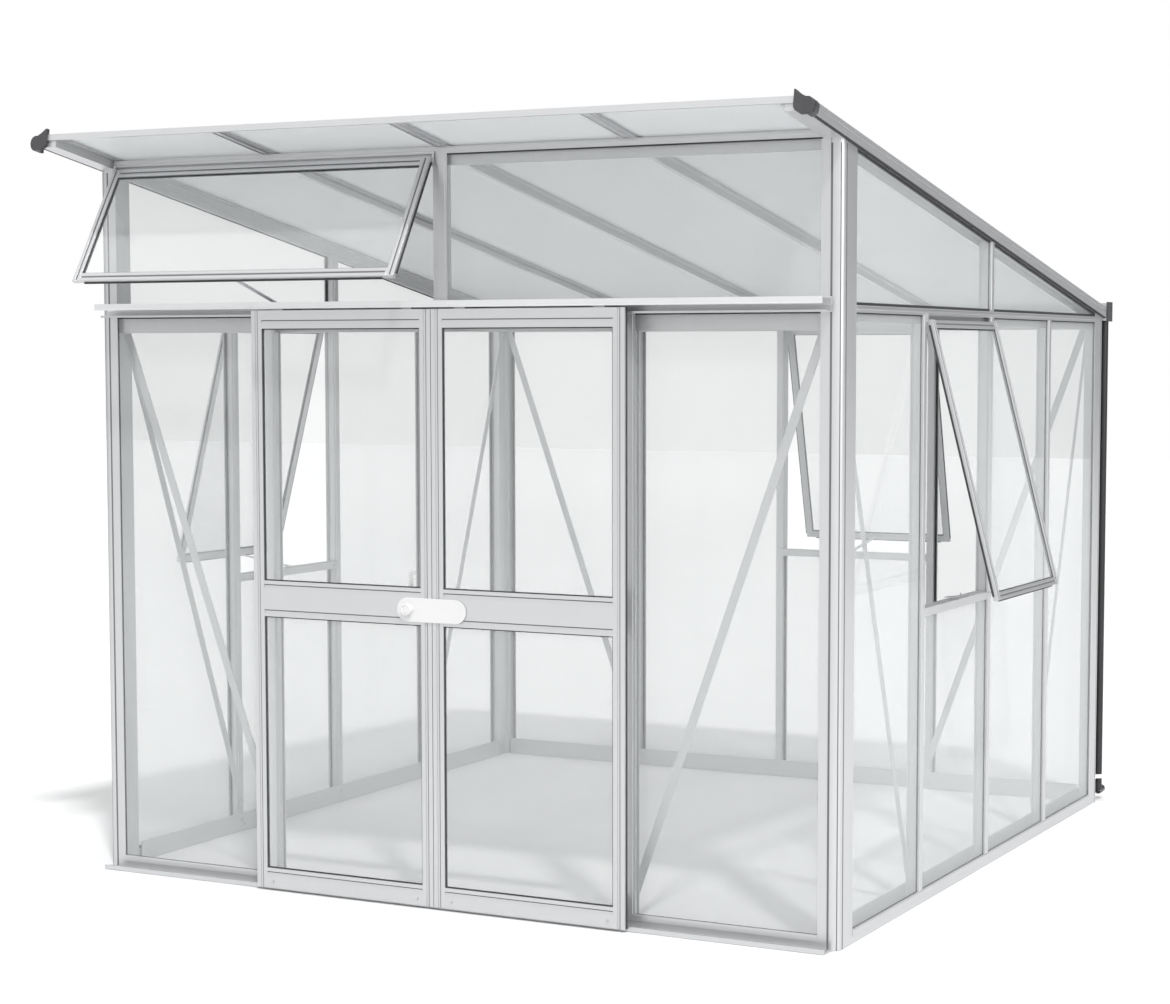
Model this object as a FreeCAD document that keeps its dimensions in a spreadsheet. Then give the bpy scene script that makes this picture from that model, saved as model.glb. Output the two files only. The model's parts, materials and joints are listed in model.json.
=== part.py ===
"""Lean-to greenhouse: four glazed walls, one sloping roof, two sliding doors, four top-hung vents.

Frame: +X to the right along the front, +Y to the back, +Z up, origin on the ground at the middle
of the footprint. Lengths are in millimetres, angles in degrees. Doors and vents are built as they
stand at rest: doors closed, vents open on their stays.
"""
import FreeCAD, Part
import os
import re

os.makedirs("parts", exist_ok=True)
doc = FreeCAD.newDocument("greenhouse")

# ---- driving dimensions -------------------------------------------------------------------------
SIZES = {
    # footprint and heights
    "width": 2540, "depth": 2560, "module": 620,
    "front_height": 2241, "eave_height": 1786, "rail_top": 1791,
    # glazing bars: outer cap, web and inner flange, all measured inwards from the wall's outer face
    "cap_thick": 4, "cap_width": 36, "web_width": 14, "flange_width": 24, "flange_thick": 4,
    "bar_depth": 42, "pane_thick": 4, "pane_cover": 8, "pane_play": 0.5, "edge_play": 3,
    # corner posts
    "corner_round": 25, "corner_groove": 10, "front_flange": 28, "side_flange": 72,
    "core_inset": 12, "post_wall": 3,
    # sills and anchor holes
    "sill_face": 40, "sill_base": 4, "sill_upstand": 64, "front_upstand": 30, "lip_thick": 3,
    "anchor_radius": 4.5, "anchor_in": 24, "anchor_from_corner": 200,
    # rails and beams
    "rail_face": 20, "rail_core": 15, "rail_leg": 46, "leg_start": 18, "head_leg": 69,
    "beam_gap": 4, "beam_play": 1, "beam_leg": 46, "seat_start": 10, "awning_seat": 14, "drip_reach": 4,
    # door hood, roller track and bottom track, measured outwards from the front face
    "hood_reach": 70, "hood_height": 20, "hood_above": 22, "hood_inset": 29, "hood_thick": 3,
    "track_reach": 40, "track_lip": 3, "sill_track_reach": 52, "sill_track_lip": 14,
    "guide_lip_at": 30, "guide_lip": 10, "sill_track_inset": 20,
    # doors
    "door_face": 68, "door_thick": 14, "door_width": 639, "door_split": 1, "door_bottom": 8,
    "door_under_hood": 5, "stile": 38, "top_rail": 55, "mid_rail": 110, "mid_height": 908,
    "bottom_rail": 62, "groove_wide": 10, "groove_deep": 2, "groove_in": 11, "top_groove_in": 29,
    # hangers, rollers and guides
    "roller_radius": 10, "roller_width": 10, "roller_at": 31, "axle_radius": 3, "roller_play": 0.4,
    "hanger_wide": 36, "hanger_thick": 3, "hanger_low": 42, "hanger_above": 8,
    "hanger_from_edge": 90, "guide_wide": 40, "guide_from_edge": 70, "guide_over": 4,
    # lock
    "plate_left": 120, "plate_right": 118, "plate_tall": 72, "plate_thick": 3, "plate_pad": 1.5,
    "knob_at": 83, "lock_height": 899, "knob_radius": 17, "knob_long": 12, "spindle_radius": 4,
    "spindle_play": 0.5,
    "cam_long": 112, "cam_wide": 12, "cam_thick": 3, "cam_behind": 2, "hook_wide": 8, "hook_drop": 10,
    "strike_wide": 14, "strike_tall": 24, "strike_deep": 9,
    # vents
    "vent_angle": 14.5, "awning_angle": 30.5, "vent_side_gap": 10, "vent_bar": 24, "vent_thick": 14,
    "awning_bar": 28, "hinge_out": 3.4, "hinge_bead": 2.6, "hinge_drop": 14, "vent_top_gap": 3,
    "vent_sill_gap": 4, "vent_sill_top": 895, "vent_sill_face": 25, "awning_end_gap": 8,
    "ear_thick": 5, "ear_gap": 1, "ear_reach": 5, "ear_low": 7, "ear_above": 6, "ear_play": 0.4,
    # stays
    "stay_wide": 16, "stay_thick": 3, "stay_up": 16, "peg_radius": 3, "peg_tall": 11, "peg_apart": 110,
    "peg_in": 26, "stay_rise": 8, "stay_over": 14, "stay_eye": 5, "stay_pin": 2.4, "stay_play": 0.4,
    "stay_hole": 5, "lug_thick": 3, "lug_out": 7,
    # roof, perpendicular to the slope and counted from the rafters' underside
    "overhang": 274, "end_rafter_wide": 56, "rafter_out": 10, "rafter_tall": 39, "rafter_wide": 50,
    "rafter_low": 25,
    "panel_low": 29, "panel_thick": 6, "inner_web": 20, "end_web_drop": 17, "end_web_thick": 6,
    "panel_tail": 22, "fascia_thick": 6, "fascia_low": 20, "tube_wall": 3,
    "cap_nose": 14, "cap_in": 27, "cap_round": 23, "cap_low": 12, "cap_long": 40, "fin_tall": 22,
    # gutter and downpipe
    "gutter_wide": 60, "gutter_low": 1778, "gutter_inner": 34, "gutter_tall": 65, "gutter_thick": 3,
    "gutter_cap": 5, "gutter_rim": 3, "gutter_out": 10, "pipe_radius": 14, "pipe_wall": 2,
    "pipe_from_side": 5, "pipe_out": 32, "pipe_bottom": 60, "spigot_drop": 18, "spigot_play": 0.4, "shoe_long": 46,
    "shoe_up": 25, "clip_height": 82, "clip_tall": 14, "clip_wall": 3,
    # braces and bolts
    "brace_wide": 26, "brace_thick": 3, "brace_gap": 1, "brace_low": 95, "brace_top_drop": 40,
    "bolt_radius": 5, "bolt_long": 3, "bolt_apart": 11, "bolt_up": 22, "bolt_rise": 20,
}

sheet = doc.addObject("Spreadsheet::Sheet", "Sizes")
for row, (alias, value) in enumerate(SIZES.items(), start=1):
    sheet.set("A%d" % row, alias)
    sheet.set("B%d" % row, str(value))
    sheet.setAlias("B%d" % row, alias)
doc.recompute()


# ---- helpers ------------------------------------------------------------------------------------
def bound(text):
    """An expression in which every size name points at its cell."""
    return re.sub(r"[a-z_]+", lambda m: "Sizes." + m[0] if m[0] in SIZES else m[0], str(text))


def plus(*terms):
    return " + ".join("(%s)" % term for term in terms)


def minus(text):
    return "-(%s)" % text


def less(first, second):
    return "(%s) - (%s)" % (first, second)


def place(item, x="0", y="0", z="0"):
    for axis, value in zip("xyz", (x, y, z)):
        item.setExpression("Placement.Base." + axis, bound(value))
    return item


def box(x, y, z):
    """A box from (low, high) pairs of expressions."""
    item = doc.addObject("Part::Box", "box")
    for prop, (low, high) in zip(("Length", "Width", "Height"), (x, y, z)):
        item.setExpression(prop, bound(less(high, low)))
    return place(item, x[0], y[0], z[0])


def rod(radius, length, x, y, z, along="z"):
    """A cylinder that starts at (x, y, z) and runs along +x, +y or +z."""
    item = doc.addObject("Part::Cylinder", "rod")
    item.setExpression("Radius", bound(radius))
    item.setExpression("Height", bound(length))
    spin = {"x": FreeCAD.Rotation(FreeCAD.Vector(0, 1, 0), 90),
            "y": FreeCAD.Rotation(FreeCAD.Vector(1, 0, 0), -90),
            "z": FreeCAD.Rotation()}[along]
    item.Placement = FreeCAD.Placement(FreeCAD.Vector(), spin)
    return place(item, x, y, z)


def fuse(*shapes):
    item = doc.addObject("Part::MultiFuse", "fuse")
    item.Shapes = list(shapes)
    return item


def cut(base, *tools):
    item = doc.addObject("Part::Cut", "cut")
    item.Base = base
    item.Tool = tools[0] if len(tools) == 1 else fuse(*tools)
    return item


def group(*shapes):
    """Shapes held together but not joined, so they can be moved as one."""
    item = doc.addObject("Part::Compound", "group")
    item.Links = list(shapes)
    return item


def turn(axis, angle, *shapes):
    """Turn shapes together about the origin, by an angle that the sheet drives."""
    item = group(*shapes)
    item.Placement = FreeCAD.Placement(FreeCAD.Vector(), FreeCAD.Rotation(FreeCAD.Vector(*axis), 5))
    item.setExpression("Placement.Rotation.Angle", bound(angle))
    return item


def tube(radius, wall, length, x, y, z, along="z"):
    return cut(rod(radius, length, x, y, z, along), rod(less(radius, wall), length, x, y, z, along))


NODES = []


def node(label, *solids):
    """Name a sub-part. Several solids are kept apart in one compound."""
    item = solids[0] if len(solids) == 1 else group(*solids)
    item.Label = label
    NODES.append(item)
    return item


WALLS = ("front", "back", "left", "right")


def wall_box(wall, along, deep, up):
    """A box on a wall. deep is (outer, inner), measured inwards from the wall's outer face."""
    outer, inner = deep
    if wall == "front":
        return box(along, (plus("-depth / 2", outer), plus("-depth / 2", inner)), up)
    if wall == "back":
        return box(along, (less("depth / 2", inner), less("depth / 2", outer)), up)
    if wall == "left":
        return box((plus("-width / 2", outer), plus("-width / 2", inner)), along, up)
    return box((less("width / 2", inner), less("width / 2", outer)), along, up)


def wall_rod(wall, radius, along, deep, up):
    """A round piece square to a wall. deep is (outer, inner)."""
    outer, inner = deep
    length = less(inner, outer)
    if wall == "front":
        return rod(radius, length, along, plus("-depth / 2", outer), up, "y")
    if wall == "back":
        return rod(radius, length, along, less("depth / 2", inner), up, "y")
    if wall == "left":
        return rod(radius, length, plus("-width / 2", outer), along, up, "x")
    return rod(radius, length, less("width / 2", inner), along, up, "x")


def half_run(wall):
    return "width / 2" if wall in ("front", "back") else "depth / 2"


def flange_of(wall):
    """How far the corner post's flange reaches along a wall, from the corner."""
    flange = "front_flange" if wall in ("front", "back") else "side_flange"
    return "corner_round + corner_groove + " + flange


RAIL_LOW = "rail_top - rail_face"
BETWEEN_RAFTERS = ("-width / 2 + end_rafter_wide", "width / 2 - end_rafter_wide")
CORE_EDGE = " - pane_cover - edge_play"
PANE_DEEP = ("cap_thick", "cap_thick + pane_thick")
PANE_LOW = "sill_face - pane_cover"
PANE_HIGH = "rail_top - rail_core - pane_play"
SLOPE = "atan((front_height - eave_height) / depth)"


# ---- roof plane ---------------------------------------------------------------------------------
def on_roof(item):
    """Move a shape drawn along +Y, with z = 0 at the rafters' underside, onto the sloping roof."""
    return place(turn((-1, 0, 0), SLOPE, item), "0", "-depth / 2", "front_height")


def roof_space(low="0", run=("-width", "width")):
    """Everything above the rafters' underside, as a tool for cutting what stands below it."""
    return on_roof(box(run, ("-depth", "depth * 2"), (low, "front_height")))


# ---- sills and bottom track ---------------------------------------------------------------------
def sill(wall, upstand):
    """Outer plate, base and inner upstand of one wall's sill, between the corner posts."""
    reach = less(half_run(wall), flange_of(wall))
    run = (minus(reach), reach)
    inner = less(half_run(wall), "bar_depth")
    plate = wall_box(wall, run, ("0", "cap_thick"), ("0", "sill_face"))
    lower = wall_box(wall, run, ("cap_thick", "bar_depth"), ("0", "sill_base"))
    edge = wall_box(wall, run, ("bar_depth", "bar_depth + lip_thick"), ("0", upstand))
    solid = fuse(plate, lower, edge)
    holes = []
    for side in (-1, 1):
        at = "%d * (%s)" % (side, less(inner, "anchor_from_corner"))
        if wall in ("left", "right"):
            sign = "-" if wall == "left" else ""
            x = "%s(width / 2 - anchor_in)" % sign
            holes.append(rod("anchor_radius", "sill_base", x, at, "0"))
    return cut(solid, *holes) if holes else solid


node("wall_sills", *[sill(wall, "sill_upstand") for wall in ("left", "right", "back")])
node("front_sill", sill("front", "front_upstand"))


def bottom_track():
    """Threshold track in front of the sill, with an outer lip and a guide lip."""
    run = ("-width / 2 + sill_track_inset", "width / 2 - sill_track_inset")
    floor = wall_box("front", run, ("-sill_track_reach", "0"), ("0", "lip_thick"))
    lip = wall_box("front", run, ("-sill_track_reach", "-sill_track_reach + lip_thick"),
                   ("lip_thick", "sill_track_lip"))
    guide = wall_box("front", run, ("-guide_lip_at", "-guide_lip_at + lip_thick"),
                     ("lip_thick", "guide_lip"))
    return floor, lip, guide


node("door_bottom_track", *bottom_track())


# ---- corner posts -------------------------------------------------------------------------------
def corner_post(side, end):
    """One corner post: a rounded nose, a groove each side of it, two flanges and a hollow core.

    side is -1 (left) or 1 (right), end is "front" or "back".
    """
    wall = "left" if side < 0 else "right"
    to_y = -1 if end == "front" else 1

    def across(first, second):
        """Two distances from the side face, as an x range."""
        low, high = (first, second) if side < 0 else (second, first)
        return tuple("%d * (width / 2 - (%s))" % (side, value) for value in (low, high))

    def back(first, second):
        """Two distances from the end face, as a y range."""
        low, high = (first, second) if to_y < 0 else (second, first)
        return tuple("%d * (depth / 2 - (%s))" % (to_y, value) for value in (low, high))

    tall = ("0", "front_height + rafter_tall")
    starts = "corner_round + corner_groove"
    nose = rod("corner_round", tall[1], "%d * (width / 2 - corner_round)" % side,
               "%d * (depth / 2 - corner_round)" % to_y, "0")
    end_flange = box(across(starts, starts + " + front_flange"), back("0", "cap_thick"), tall)
    side_flange = box(across("0", "cap_thick"), back(starts, starts + " + side_flange"), tall)
    end_core = box(across("core_inset", starts + " + front_flange" + CORE_EDGE),
                   back("cap_thick", "bar_depth"), tall)
    side_core = box(across("cap_thick", "bar_depth"),
                    back("core_inset", starts + " + side_flange" + CORE_EDGE), tall)
    end_hole = box(across("core_inset + post_wall",
                          starts + " + front_flange - post_wall" + CORE_EDGE),
                   back("cap_thick + post_wall", "bar_depth - post_wall"), tall)
    side_hole = box(across("cap_thick + post_wall", "bar_depth - post_wall"),
                    back("core_inset + post_wall",
                         starts + " + side_flange - post_wall" + CORE_EDGE), tall)
    solid = fuse(nose, end_flange, side_flange, end_core, side_core)
    return cut(solid, end_hole, side_hole, roof_space())


node("front_corner_posts", corner_post(-1, "front"), corner_post(1, "front"))
node("back_corner_posts", corner_post(-1, "back"), corner_post(1, "back"))


# ---- studs --------------------------------------------------------------------------------------
def stud(wall, at, low, high, cap_low, cap_high):
    """A glazing bar of I section: outer cap, web and inner flange."""
    def centred(wide):
        return (less(at, wide + " / 2"), plus(at, wide + " / 2"))
    cap = wall_box(wall, centred("cap_width"), ("0", "cap_thick"), (cap_low, cap_high))
    web = wall_box(wall, centred("web_width"), ("cap_thick", "bar_depth"), (low, high))
    flange = wall_box(wall, centred("flange_width"), ("bar_depth - flange_thick", "bar_depth"),
                      (low, high))
    return fuse(cap, web, flange)


LEG_LOW = "rail_top - rail_leg"
studs = []
for wall in ("left", "right", "back"):
    for step in (-1, 0, 1):
        studs.append(stud(wall, "%d * module" % step, "sill_base", LEG_LOW, "sill_face", RAIL_LOW))
node("wall_studs", *studs)
node("door_jambs", *[stud("front", "%d * module" % side, "sill_base", "rail_top - head_leg",
                          "sill_face", RAIL_LOW) for side in (-1, 1)])


# ---- rails and beams ----------------------------------------------------------------------------
def rail(wall, leg):
    """The three boxes of a horizontal rail: outer cap, core and a deeper inner leg."""
    reach = less(half_run(wall), flange_of(wall))
    tight = less(half_run(wall), plus(flange_of(wall), CORE_EDGE))
    run = (minus(reach), reach)
    core_run = (minus(tight), tight)
    face = wall_box(wall, run, ("0", "cap_thick"), (RAIL_LOW, "rail_top"))
    core = wall_box(wall, core_run, ("cap_thick", "bar_depth"), ("rail_top - rail_core", "rail_top"))
    inner = wall_box(wall, core_run, ("leg_start", "bar_depth"), ("rail_top - " + leg, "rail_top"))
    return [face, core, inner]


def gable_rail(wall):
    """Rail of a gable, with a drip lip along its top edge."""
    reach = less(half_run(wall), flange_of(wall))
    lip = wall_box(wall, (minus(reach), reach), ("-drip_reach", "cap_thick"),
                   ("rail_top - lip_thick", "rail_top"))
    return fuse(lip, *rail(wall, "rail_leg"))


def eave_beam():
    """Back rail with the bar that the middle rafters lie on."""
    reach = less(half_run("back"), flange_of("back"))
    seat = wall_box("back", (minus(reach), reach), ("0", "leg_start"),
                    ("rail_top", "eave_height + rafter_low / cos(%s)" % SLOPE))
    ends = [roof_space(run=("-width", BETWEEN_RAFTERS[0])), roof_space(run=(BETWEEN_RAFTERS[1], "width"))]
    return cut(fuse(seat, *rail("back", "rail_leg")), *ends)


node("gable_rails", gable_rail("left"), gable_rail("right"))
node("eave_beam", eave_beam())


def head_beam():
    """Beam over the doors, with a low bar under the awning that carries its stay pegs."""
    tight = less(half_run("front"), plus(flange_of("front"), CORE_EDGE))
    seat = wall_box("front", (minus(tight), "-web_width / 2"), ("seat_start", "bar_depth"),
                    ("rail_top", "rail_top + awning_seat"))
    return fuse(seat, *rail("front", "head_leg"))


node("door_head_beam", head_beam())

BEAM_TOP = "front_height + rafter_low - beam_play"
BEAM_LOW = "front_height + beam_gap"
BEAM_CORE = "front_height + rafter_low - bar_depth * (front_height - eave_height) / depth - beam_play"
BEAM_LEG_LOW = BEAM_CORE + " - beam_leg"


def top_beam():
    """Beam under the roof's front, between the corner posts."""
    reach = less(half_run("front"), flange_of("front"))
    face = wall_box("front", (minus(reach), reach), ("0", "cap_thick"), (BEAM_LOW, BEAM_TOP))
    bridge = wall_box("front", BETWEEN_RAFTERS, ("cap_thick", "leg_start"),
                      (less(BEAM_CORE, "pane_cover"), BEAM_CORE))
    leg = wall_box("front", BETWEEN_RAFTERS, ("leg_start", "bar_depth"), (BEAM_LEG_LOW, BEAM_CORE))
    return fuse(face, bridge, leg)


node("front_top_beam", top_beam())


def mullion():
    """Upright in the middle of the clerestory, with a flange behind the awning's edge."""
    cap = wall_box("front", ("-cap_width / 2", "cap_width / 2"), ("0", "cap_thick"),
                   ("rail_top", BEAM_LOW))
    web = wall_box("front", ("-web_width / 2", "web_width / 2"), ("cap_thick", "bar_depth"),
                   ("rail_top", BEAM_LEG_LOW))
    flange = wall_box("front", ("-cap_width", "-web_width / 2"), ("seat_start", "seat_start + lip_thick"),
                      ("rail_top + awning_seat", BEAM_LEG_LOW))
    return fuse(cap, web, flange)


node("clerestory_mullion", mullion())


def king_post(wall):
    """Upright between the gable rail and the rafter."""
    post = stud(wall, "0", "rail_top", "front_height", "rail_top", "front_height")
    return cut(post, roof_space())


node("gable_king_posts", king_post("left"), king_post("right"))


# ---- door hood and roller track -----------------------------------------------------------------
HOOD_TOP = "rail_top + hood_above"
HOOD_LOW = "rail_top + hood_above - hood_height"
HOOD_RUN = ("-width / 2 + hood_inset", "width / 2 - hood_inset")
TRACK_TOP = "rail_top - rail_face + lip_thick"
ROLLER_Z = plus(TRACK_TOP, "roller_radius + roller_play")


def hood():
    """Cover over the doors' rollers: roof plate, front lip and back leg."""
    back_low = "rail_top - 1"
    under = less(HOOD_TOP, "hood_thick")
    plate = wall_box("front", HOOD_RUN, ("-hood_reach", "0"), (under, HOOD_TOP))
    lip = wall_box("front", HOOD_RUN, ("-hood_reach", "-hood_reach + hood_thick"), (HOOD_LOW, under))
    leg = wall_box("front", HOOD_RUN, ("-hood_thick", "0"), (back_low, under))
    return plate, lip, leg


def roller_track():
    """J-shaped track that the rollers run on."""
    back = wall_box("front", HOOD_RUN, ("-hood_thick", "0"), (TRACK_TOP, "rail_top - 1"))
    ledge = wall_box("front", HOOD_RUN, ("-track_reach", "0"), (RAIL_LOW, TRACK_TOP))
    lip = wall_box("front", HOOD_RUN, ("-track_reach", "-track_reach + hood_thick"),
                   (TRACK_TOP, plus(TRACK_TOP, "track_lip")))
    return back, ledge, lip


node("door_hood", *hood())
node("door_roller_track", *roller_track())


# ---- roof ---------------------------------------------------------------------------------------
RUN_FRONT = "-overhang / cos(%s)" % SLOPE
RUN_BACK = "depth / cos(%s) - rafter_tall * tan(%s)" % (SLOPE, SLOPE)


def gable_run(side, outer, inner):
    """Two distances from a side face, as an x range. A negative distance is outside the face."""
    low, high = (outer, inner) if side < 0 else (inner, outer)
    return tuple("%d * (width / 2 - (%s))" % (side, value) for value in (low, high))


def end_rafter(side):
    """Hollow rafter over a gable, with a ledge and a cap for the roof panel on its inner side.

    Its outer side laps over the gable's face, above a rebate for a seal.
    """
    def across(outer, inner):
        return gable_run(side, outer, inner)
    run = (RUN_FRONT, RUN_BACK)
    body = box(across("0", "end_rafter_wide"), run, ("0", "rafter_tall"))
    lap = box(across("-rafter_out", "0"), run, ("tube_wall", "rafter_tall"))
    bore = box(across("tube_wall - rafter_out", "end_rafter_wide - tube_wall"), run,
               ("fascia_low", "rafter_tall - tube_wall"))
    ledge = box(across("end_rafter_wide", "end_rafter_wide + rafter_low"), run,
                ("rafter_low", "panel_low"))
    cover = box(across("end_rafter_wide", "end_rafter_wide + cap_width / 3"), run,
                ("panel_low + panel_thick", "rafter_tall"))
    web = box(across("bar_depth + 2", "bar_depth + 2 + end_web_thick"),
              ("bar_depth * 1.2", less(RUN_BACK, "bar_depth * 1.3")), ("-end_web_drop", "0"))
    groove = box(across("-rafter_out", "groove_deep - rafter_out"), run,
                 ("fascia_low", "fascia_low + tube_wall * 2"))
    return on_roof(cut(fuse(body, lap, ledge, cover, web), bore, groove))


def middle_rafter(step):
    """Rafter between two panels: wide foot, web, cover, and a deeper web inside the walls."""
    at = "%d * module" % step
    run = (RUN_FRONT, less(RUN_BACK, "1"))

    def centred(wide):
        return (less(at, wide + " / 2"), plus(at, wide + " / 2"))
    foot = box(centred("rafter_wide"), run, ("rafter_low", "panel_low"))
    web = box(centred("web_width"), run, ("panel_low", "rafter_tall"))
    cover = box(centred("cap_width"), run, ("panel_low + panel_thick", "rafter_tall"))
    inner = box(centred("web_width"), ("bar_depth * 1.2", less(RUN_BACK, "bar_depth * 1.3")),
                ("rafter_low - inner_web", "rafter_low"))
    return on_roof(fuse(foot, web, cover, inner))


node("end_rafters", end_rafter(-1), end_rafter(1))
node("middle_rafters", *[middle_rafter(step) for step in (-1, 0, 1)])


def roof_panel(step):
    """One translucent panel of the roof. step counts modules from the left, from -2."""
    low = "%d * module + web_width / 2 + pane_play" % step
    high = "%d * module - web_width / 2 - pane_play" % (step + 1)
    if step == -2:
        low = "-width / 2 + end_rafter_wide + pane_play"
    if step == 1:
        high = "width / 2 - end_rafter_wide - pane_play"
    sheet_run = (RUN_FRONT, plus(RUN_BACK, "panel_tail"))
    return on_roof(box((low, high), sheet_run, ("panel_low", "panel_low + panel_thick")))


node("roof_panels", *[roof_panel(step) for step in (-2, -1, 0, 1)])

node("roof_fascia", on_roof(box(("-width / 2 + cap_in", "width / 2 - cap_in"),
                                (less(RUN_FRONT, "fascia_thick"), RUN_FRONT),
                                ("fascia_low", "rafter_tall"))))


def rafter_cap(side):
    """Plastic cap on a rafter's front end: a rounded outer side that laps over the rafter, and a fin."""
    nose = less(RUN_FRONT, "cap_nose")
    top = "cap_round * 2 - cap_low"
    face = box(gable_run(side, "-rafter_out", "cap_in"), (nose, RUN_FRONT), ("-cap_low", top))
    fin = box(gable_run(side, "cap_in - tube_wall", "cap_in"), (nose, RUN_FRONT),
              (top, plus(top, "fin_tall")))
    lobe = rod("cap_round", "cap_long", "%d * (width / 2 + rafter_out)" % side, nose,
               "cap_round - cap_low", "y")
    rafter = box(gable_run(side, "-rafter_out", "end_rafter_wide"), (RUN_FRONT, "0"), ("0", "rafter_tall"))
    return on_roof(cut(fuse(face, fin, lobe), rafter))


# ---- gutter and downpipe ------------------------------------------------------------------------
GUTTER_RUN = ("-width / 2 - gutter_out", "width / 2 + gutter_out")
PIPE_X = "width / 2 - pipe_from_side"
PIPE_Y = "depth / 2 + pipe_out"


def gutter():
    """Open channel behind the eave, with a round outlet and its spigot."""
    low = "gutter_low"
    floor_top = plus(low, "gutter_thick")
    spigot_radius = "pipe_radius - pipe_wall - spigot_play"
    floor = cut(wall_box("back", GUTTER_RUN, ("-gutter_wide", "0"), (low, floor_top)),
                rod(less(spigot_radius, "pipe_wall"), "gutter_thick", PIPE_X, PIPE_Y, low))
    outer = wall_box("back", GUTTER_RUN, ("-gutter_wide", "-gutter_wide + gutter_thick"),
                     (floor_top, plus(low, "gutter_tall")))
    inner = wall_box("back", GUTTER_RUN, ("-gutter_thick", "0"), (floor_top, plus(low, "gutter_inner")))
    spigot = tube(spigot_radius, "pipe_wall", "spigot_drop", PIPE_X, PIPE_Y, less(low, "spigot_drop"))
    return floor, outer, inner, spigot


node("gutter", *gutter())


def gutter_cap(side):
    run = gable_run(side, "-gutter_out - gutter_cap", "-gutter_out")
    return wall_box("back", run, ("-gutter_wide - gutter_rim", "0"),
                    ("gutter_low - gutter_rim", "gutter_low + gutter_tall + gutter_rim"))


node("plastic_end_caps", rafter_cap(-1), rafter_cap(1), gutter_cap(-1), gutter_cap(1))
node("downpipe", tube("pipe_radius", "pipe_wall", "gutter_low - pipe_bottom", PIPE_X, PIPE_Y,
                      "pipe_bottom"))


def pipe_shoe():
    """Elbow at the foot of the downpipe, pointing away from the wall."""
    socket = "pipe_radius - pipe_wall - spigot_play"
    upper = rod(socket, "spigot_drop + shoe_up", PIPE_X, PIPE_Y, "pipe_bottom - shoe_up")
    collar = rod("pipe_radius", "shoe_up", PIPE_X, PIPE_Y, "pipe_bottom - shoe_up")
    outlet = rod("pipe_radius", "shoe_long", PIPE_X, PIPE_Y, "pipe_bottom - shoe_up", "y")
    upper_bore = rod("%s - pipe_wall" % socket, "spigot_drop + shoe_up", PIPE_X, PIPE_Y,
                     "pipe_bottom - shoe_up")
    outlet_bore = rod("pipe_radius - pipe_wall", "shoe_long", PIPE_X, PIPE_Y,
                      "pipe_bottom - shoe_up", "y")
    return cut(fuse(upper, collar, outlet), upper_bore, outlet_bore)


def pipe_clip():
    """Band round the downpipe with a foot on the corner post's back face."""
    ring = rod("pipe_radius + clip_wall", "clip_tall", PIPE_X, PIPE_Y, "clip_height")
    foot = box(("%s - clip_tall * 3" % PIPE_X, PIPE_X), ("depth / 2", PIPE_Y),
               ("clip_height", "clip_height + clip_tall"))
    return cut(fuse(ring, foot), rod("pipe_radius", "clip_tall", PIPE_X, PIPE_Y, "clip_height"))


node("downpipe_shoe", pipe_shoe())
node("downpipe_clip", pipe_clip())


# ---- wall glass ---------------------------------------------------------------------------------
def bay(wall, step):
    """Clear run between two bars on a wall, from its outer to its inner module line."""
    def edge(count):
        if abs(count) == 2:
            sign = "" if count > 0 else "-"
            return "%s(%s)" % (sign, less(half_run(wall), plus(flange_of(wall), "-pane_cover")))
        inward = 1 if count == step else -1
        return "%d * module + %d * (web_width / 2 + pane_play)" % (count, inward)
    return edge(step), edge(step + 1)


def glass(wall, step, low, high):
    return wall_box(wall, bay(wall, step), PANE_DEEP, (low, high))


VENT_SILL_LOW = "vent_sill_top - vent_sill_face"
FIXED_HIGH = VENT_SILL_LOW + " + pane_cover"


def wall_panes(wall, vent_step):
    panes = []
    for step in (-2, -1, 0, 1):
        high = FIXED_HIGH if step == vent_step else PANE_HIGH
        panes.append(glass(wall, step, PANE_LOW, high))
    return panes


def gable_pane(wall, end):
    """Glass over a gable rail, cut to the slope of the roof."""
    inner = "%d * (web_width / 2 + pane_play)" % end
    outer = "%d * (depth / 2 - (%s))" % (end, plus(flange_of(wall), "-pane_cover"))
    run = (outer, inner) if end < 0 else (inner, outer)
    pane = wall_box(wall, run, PANE_DEEP, ("rail_top", "front_height"))
    return cut(pane, roof_space("-pane_play"))


node("left_wall_glass", *wall_panes("left", -1), gable_pane("left", -1), gable_pane("left", 1))
node("right_wall_glass", *wall_panes("right", -1), gable_pane("right", -1), gable_pane("right", 1))
node("back_wall_glass", *wall_panes("back", 0))
clear_light = wall_box("front", ("web_width / 2 + pane_play", BETWEEN_RAFTERS[1]), PANE_DEEP,
                       ("rail_top", less(BEAM_CORE, "pane_cover + pane_play")))
node("front_wall_glass", glass("front", -2, PANE_LOW, PANE_HIGH), glass("front", 1, PANE_LOW, PANE_HIGH),
     clear_light)


# ---- pieces that stand on a wall at an angle ----------------------------------------------------
HEADING = {"front": 0, "right": 90, "back": 180, "left": -90}


def stand(wall, items, outwards, up, along="0"):
    """Put shapes on a wall. They are drawn as seen from outside: +x right, +y inwards, +z up."""
    to = {"front": (along, "-depth / 2 - (%s)" % outwards),
          "back": (minus(along), "depth / 2 + (%s)" % outwards),
          "right": ("width / 2 + (%s)" % outwards, along),
          "left": ("-width / 2 - (%s)" % outwards, minus(along))}
    holder = group(*items)
    holder.Placement = FreeCAD.Placement(FreeCAD.Vector(), FreeCAD.Rotation(FreeCAD.Vector(0, 0, 1),
                                                                          HEADING[wall]))
    return place(holder, to[wall][0], to[wall][1], up)


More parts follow.
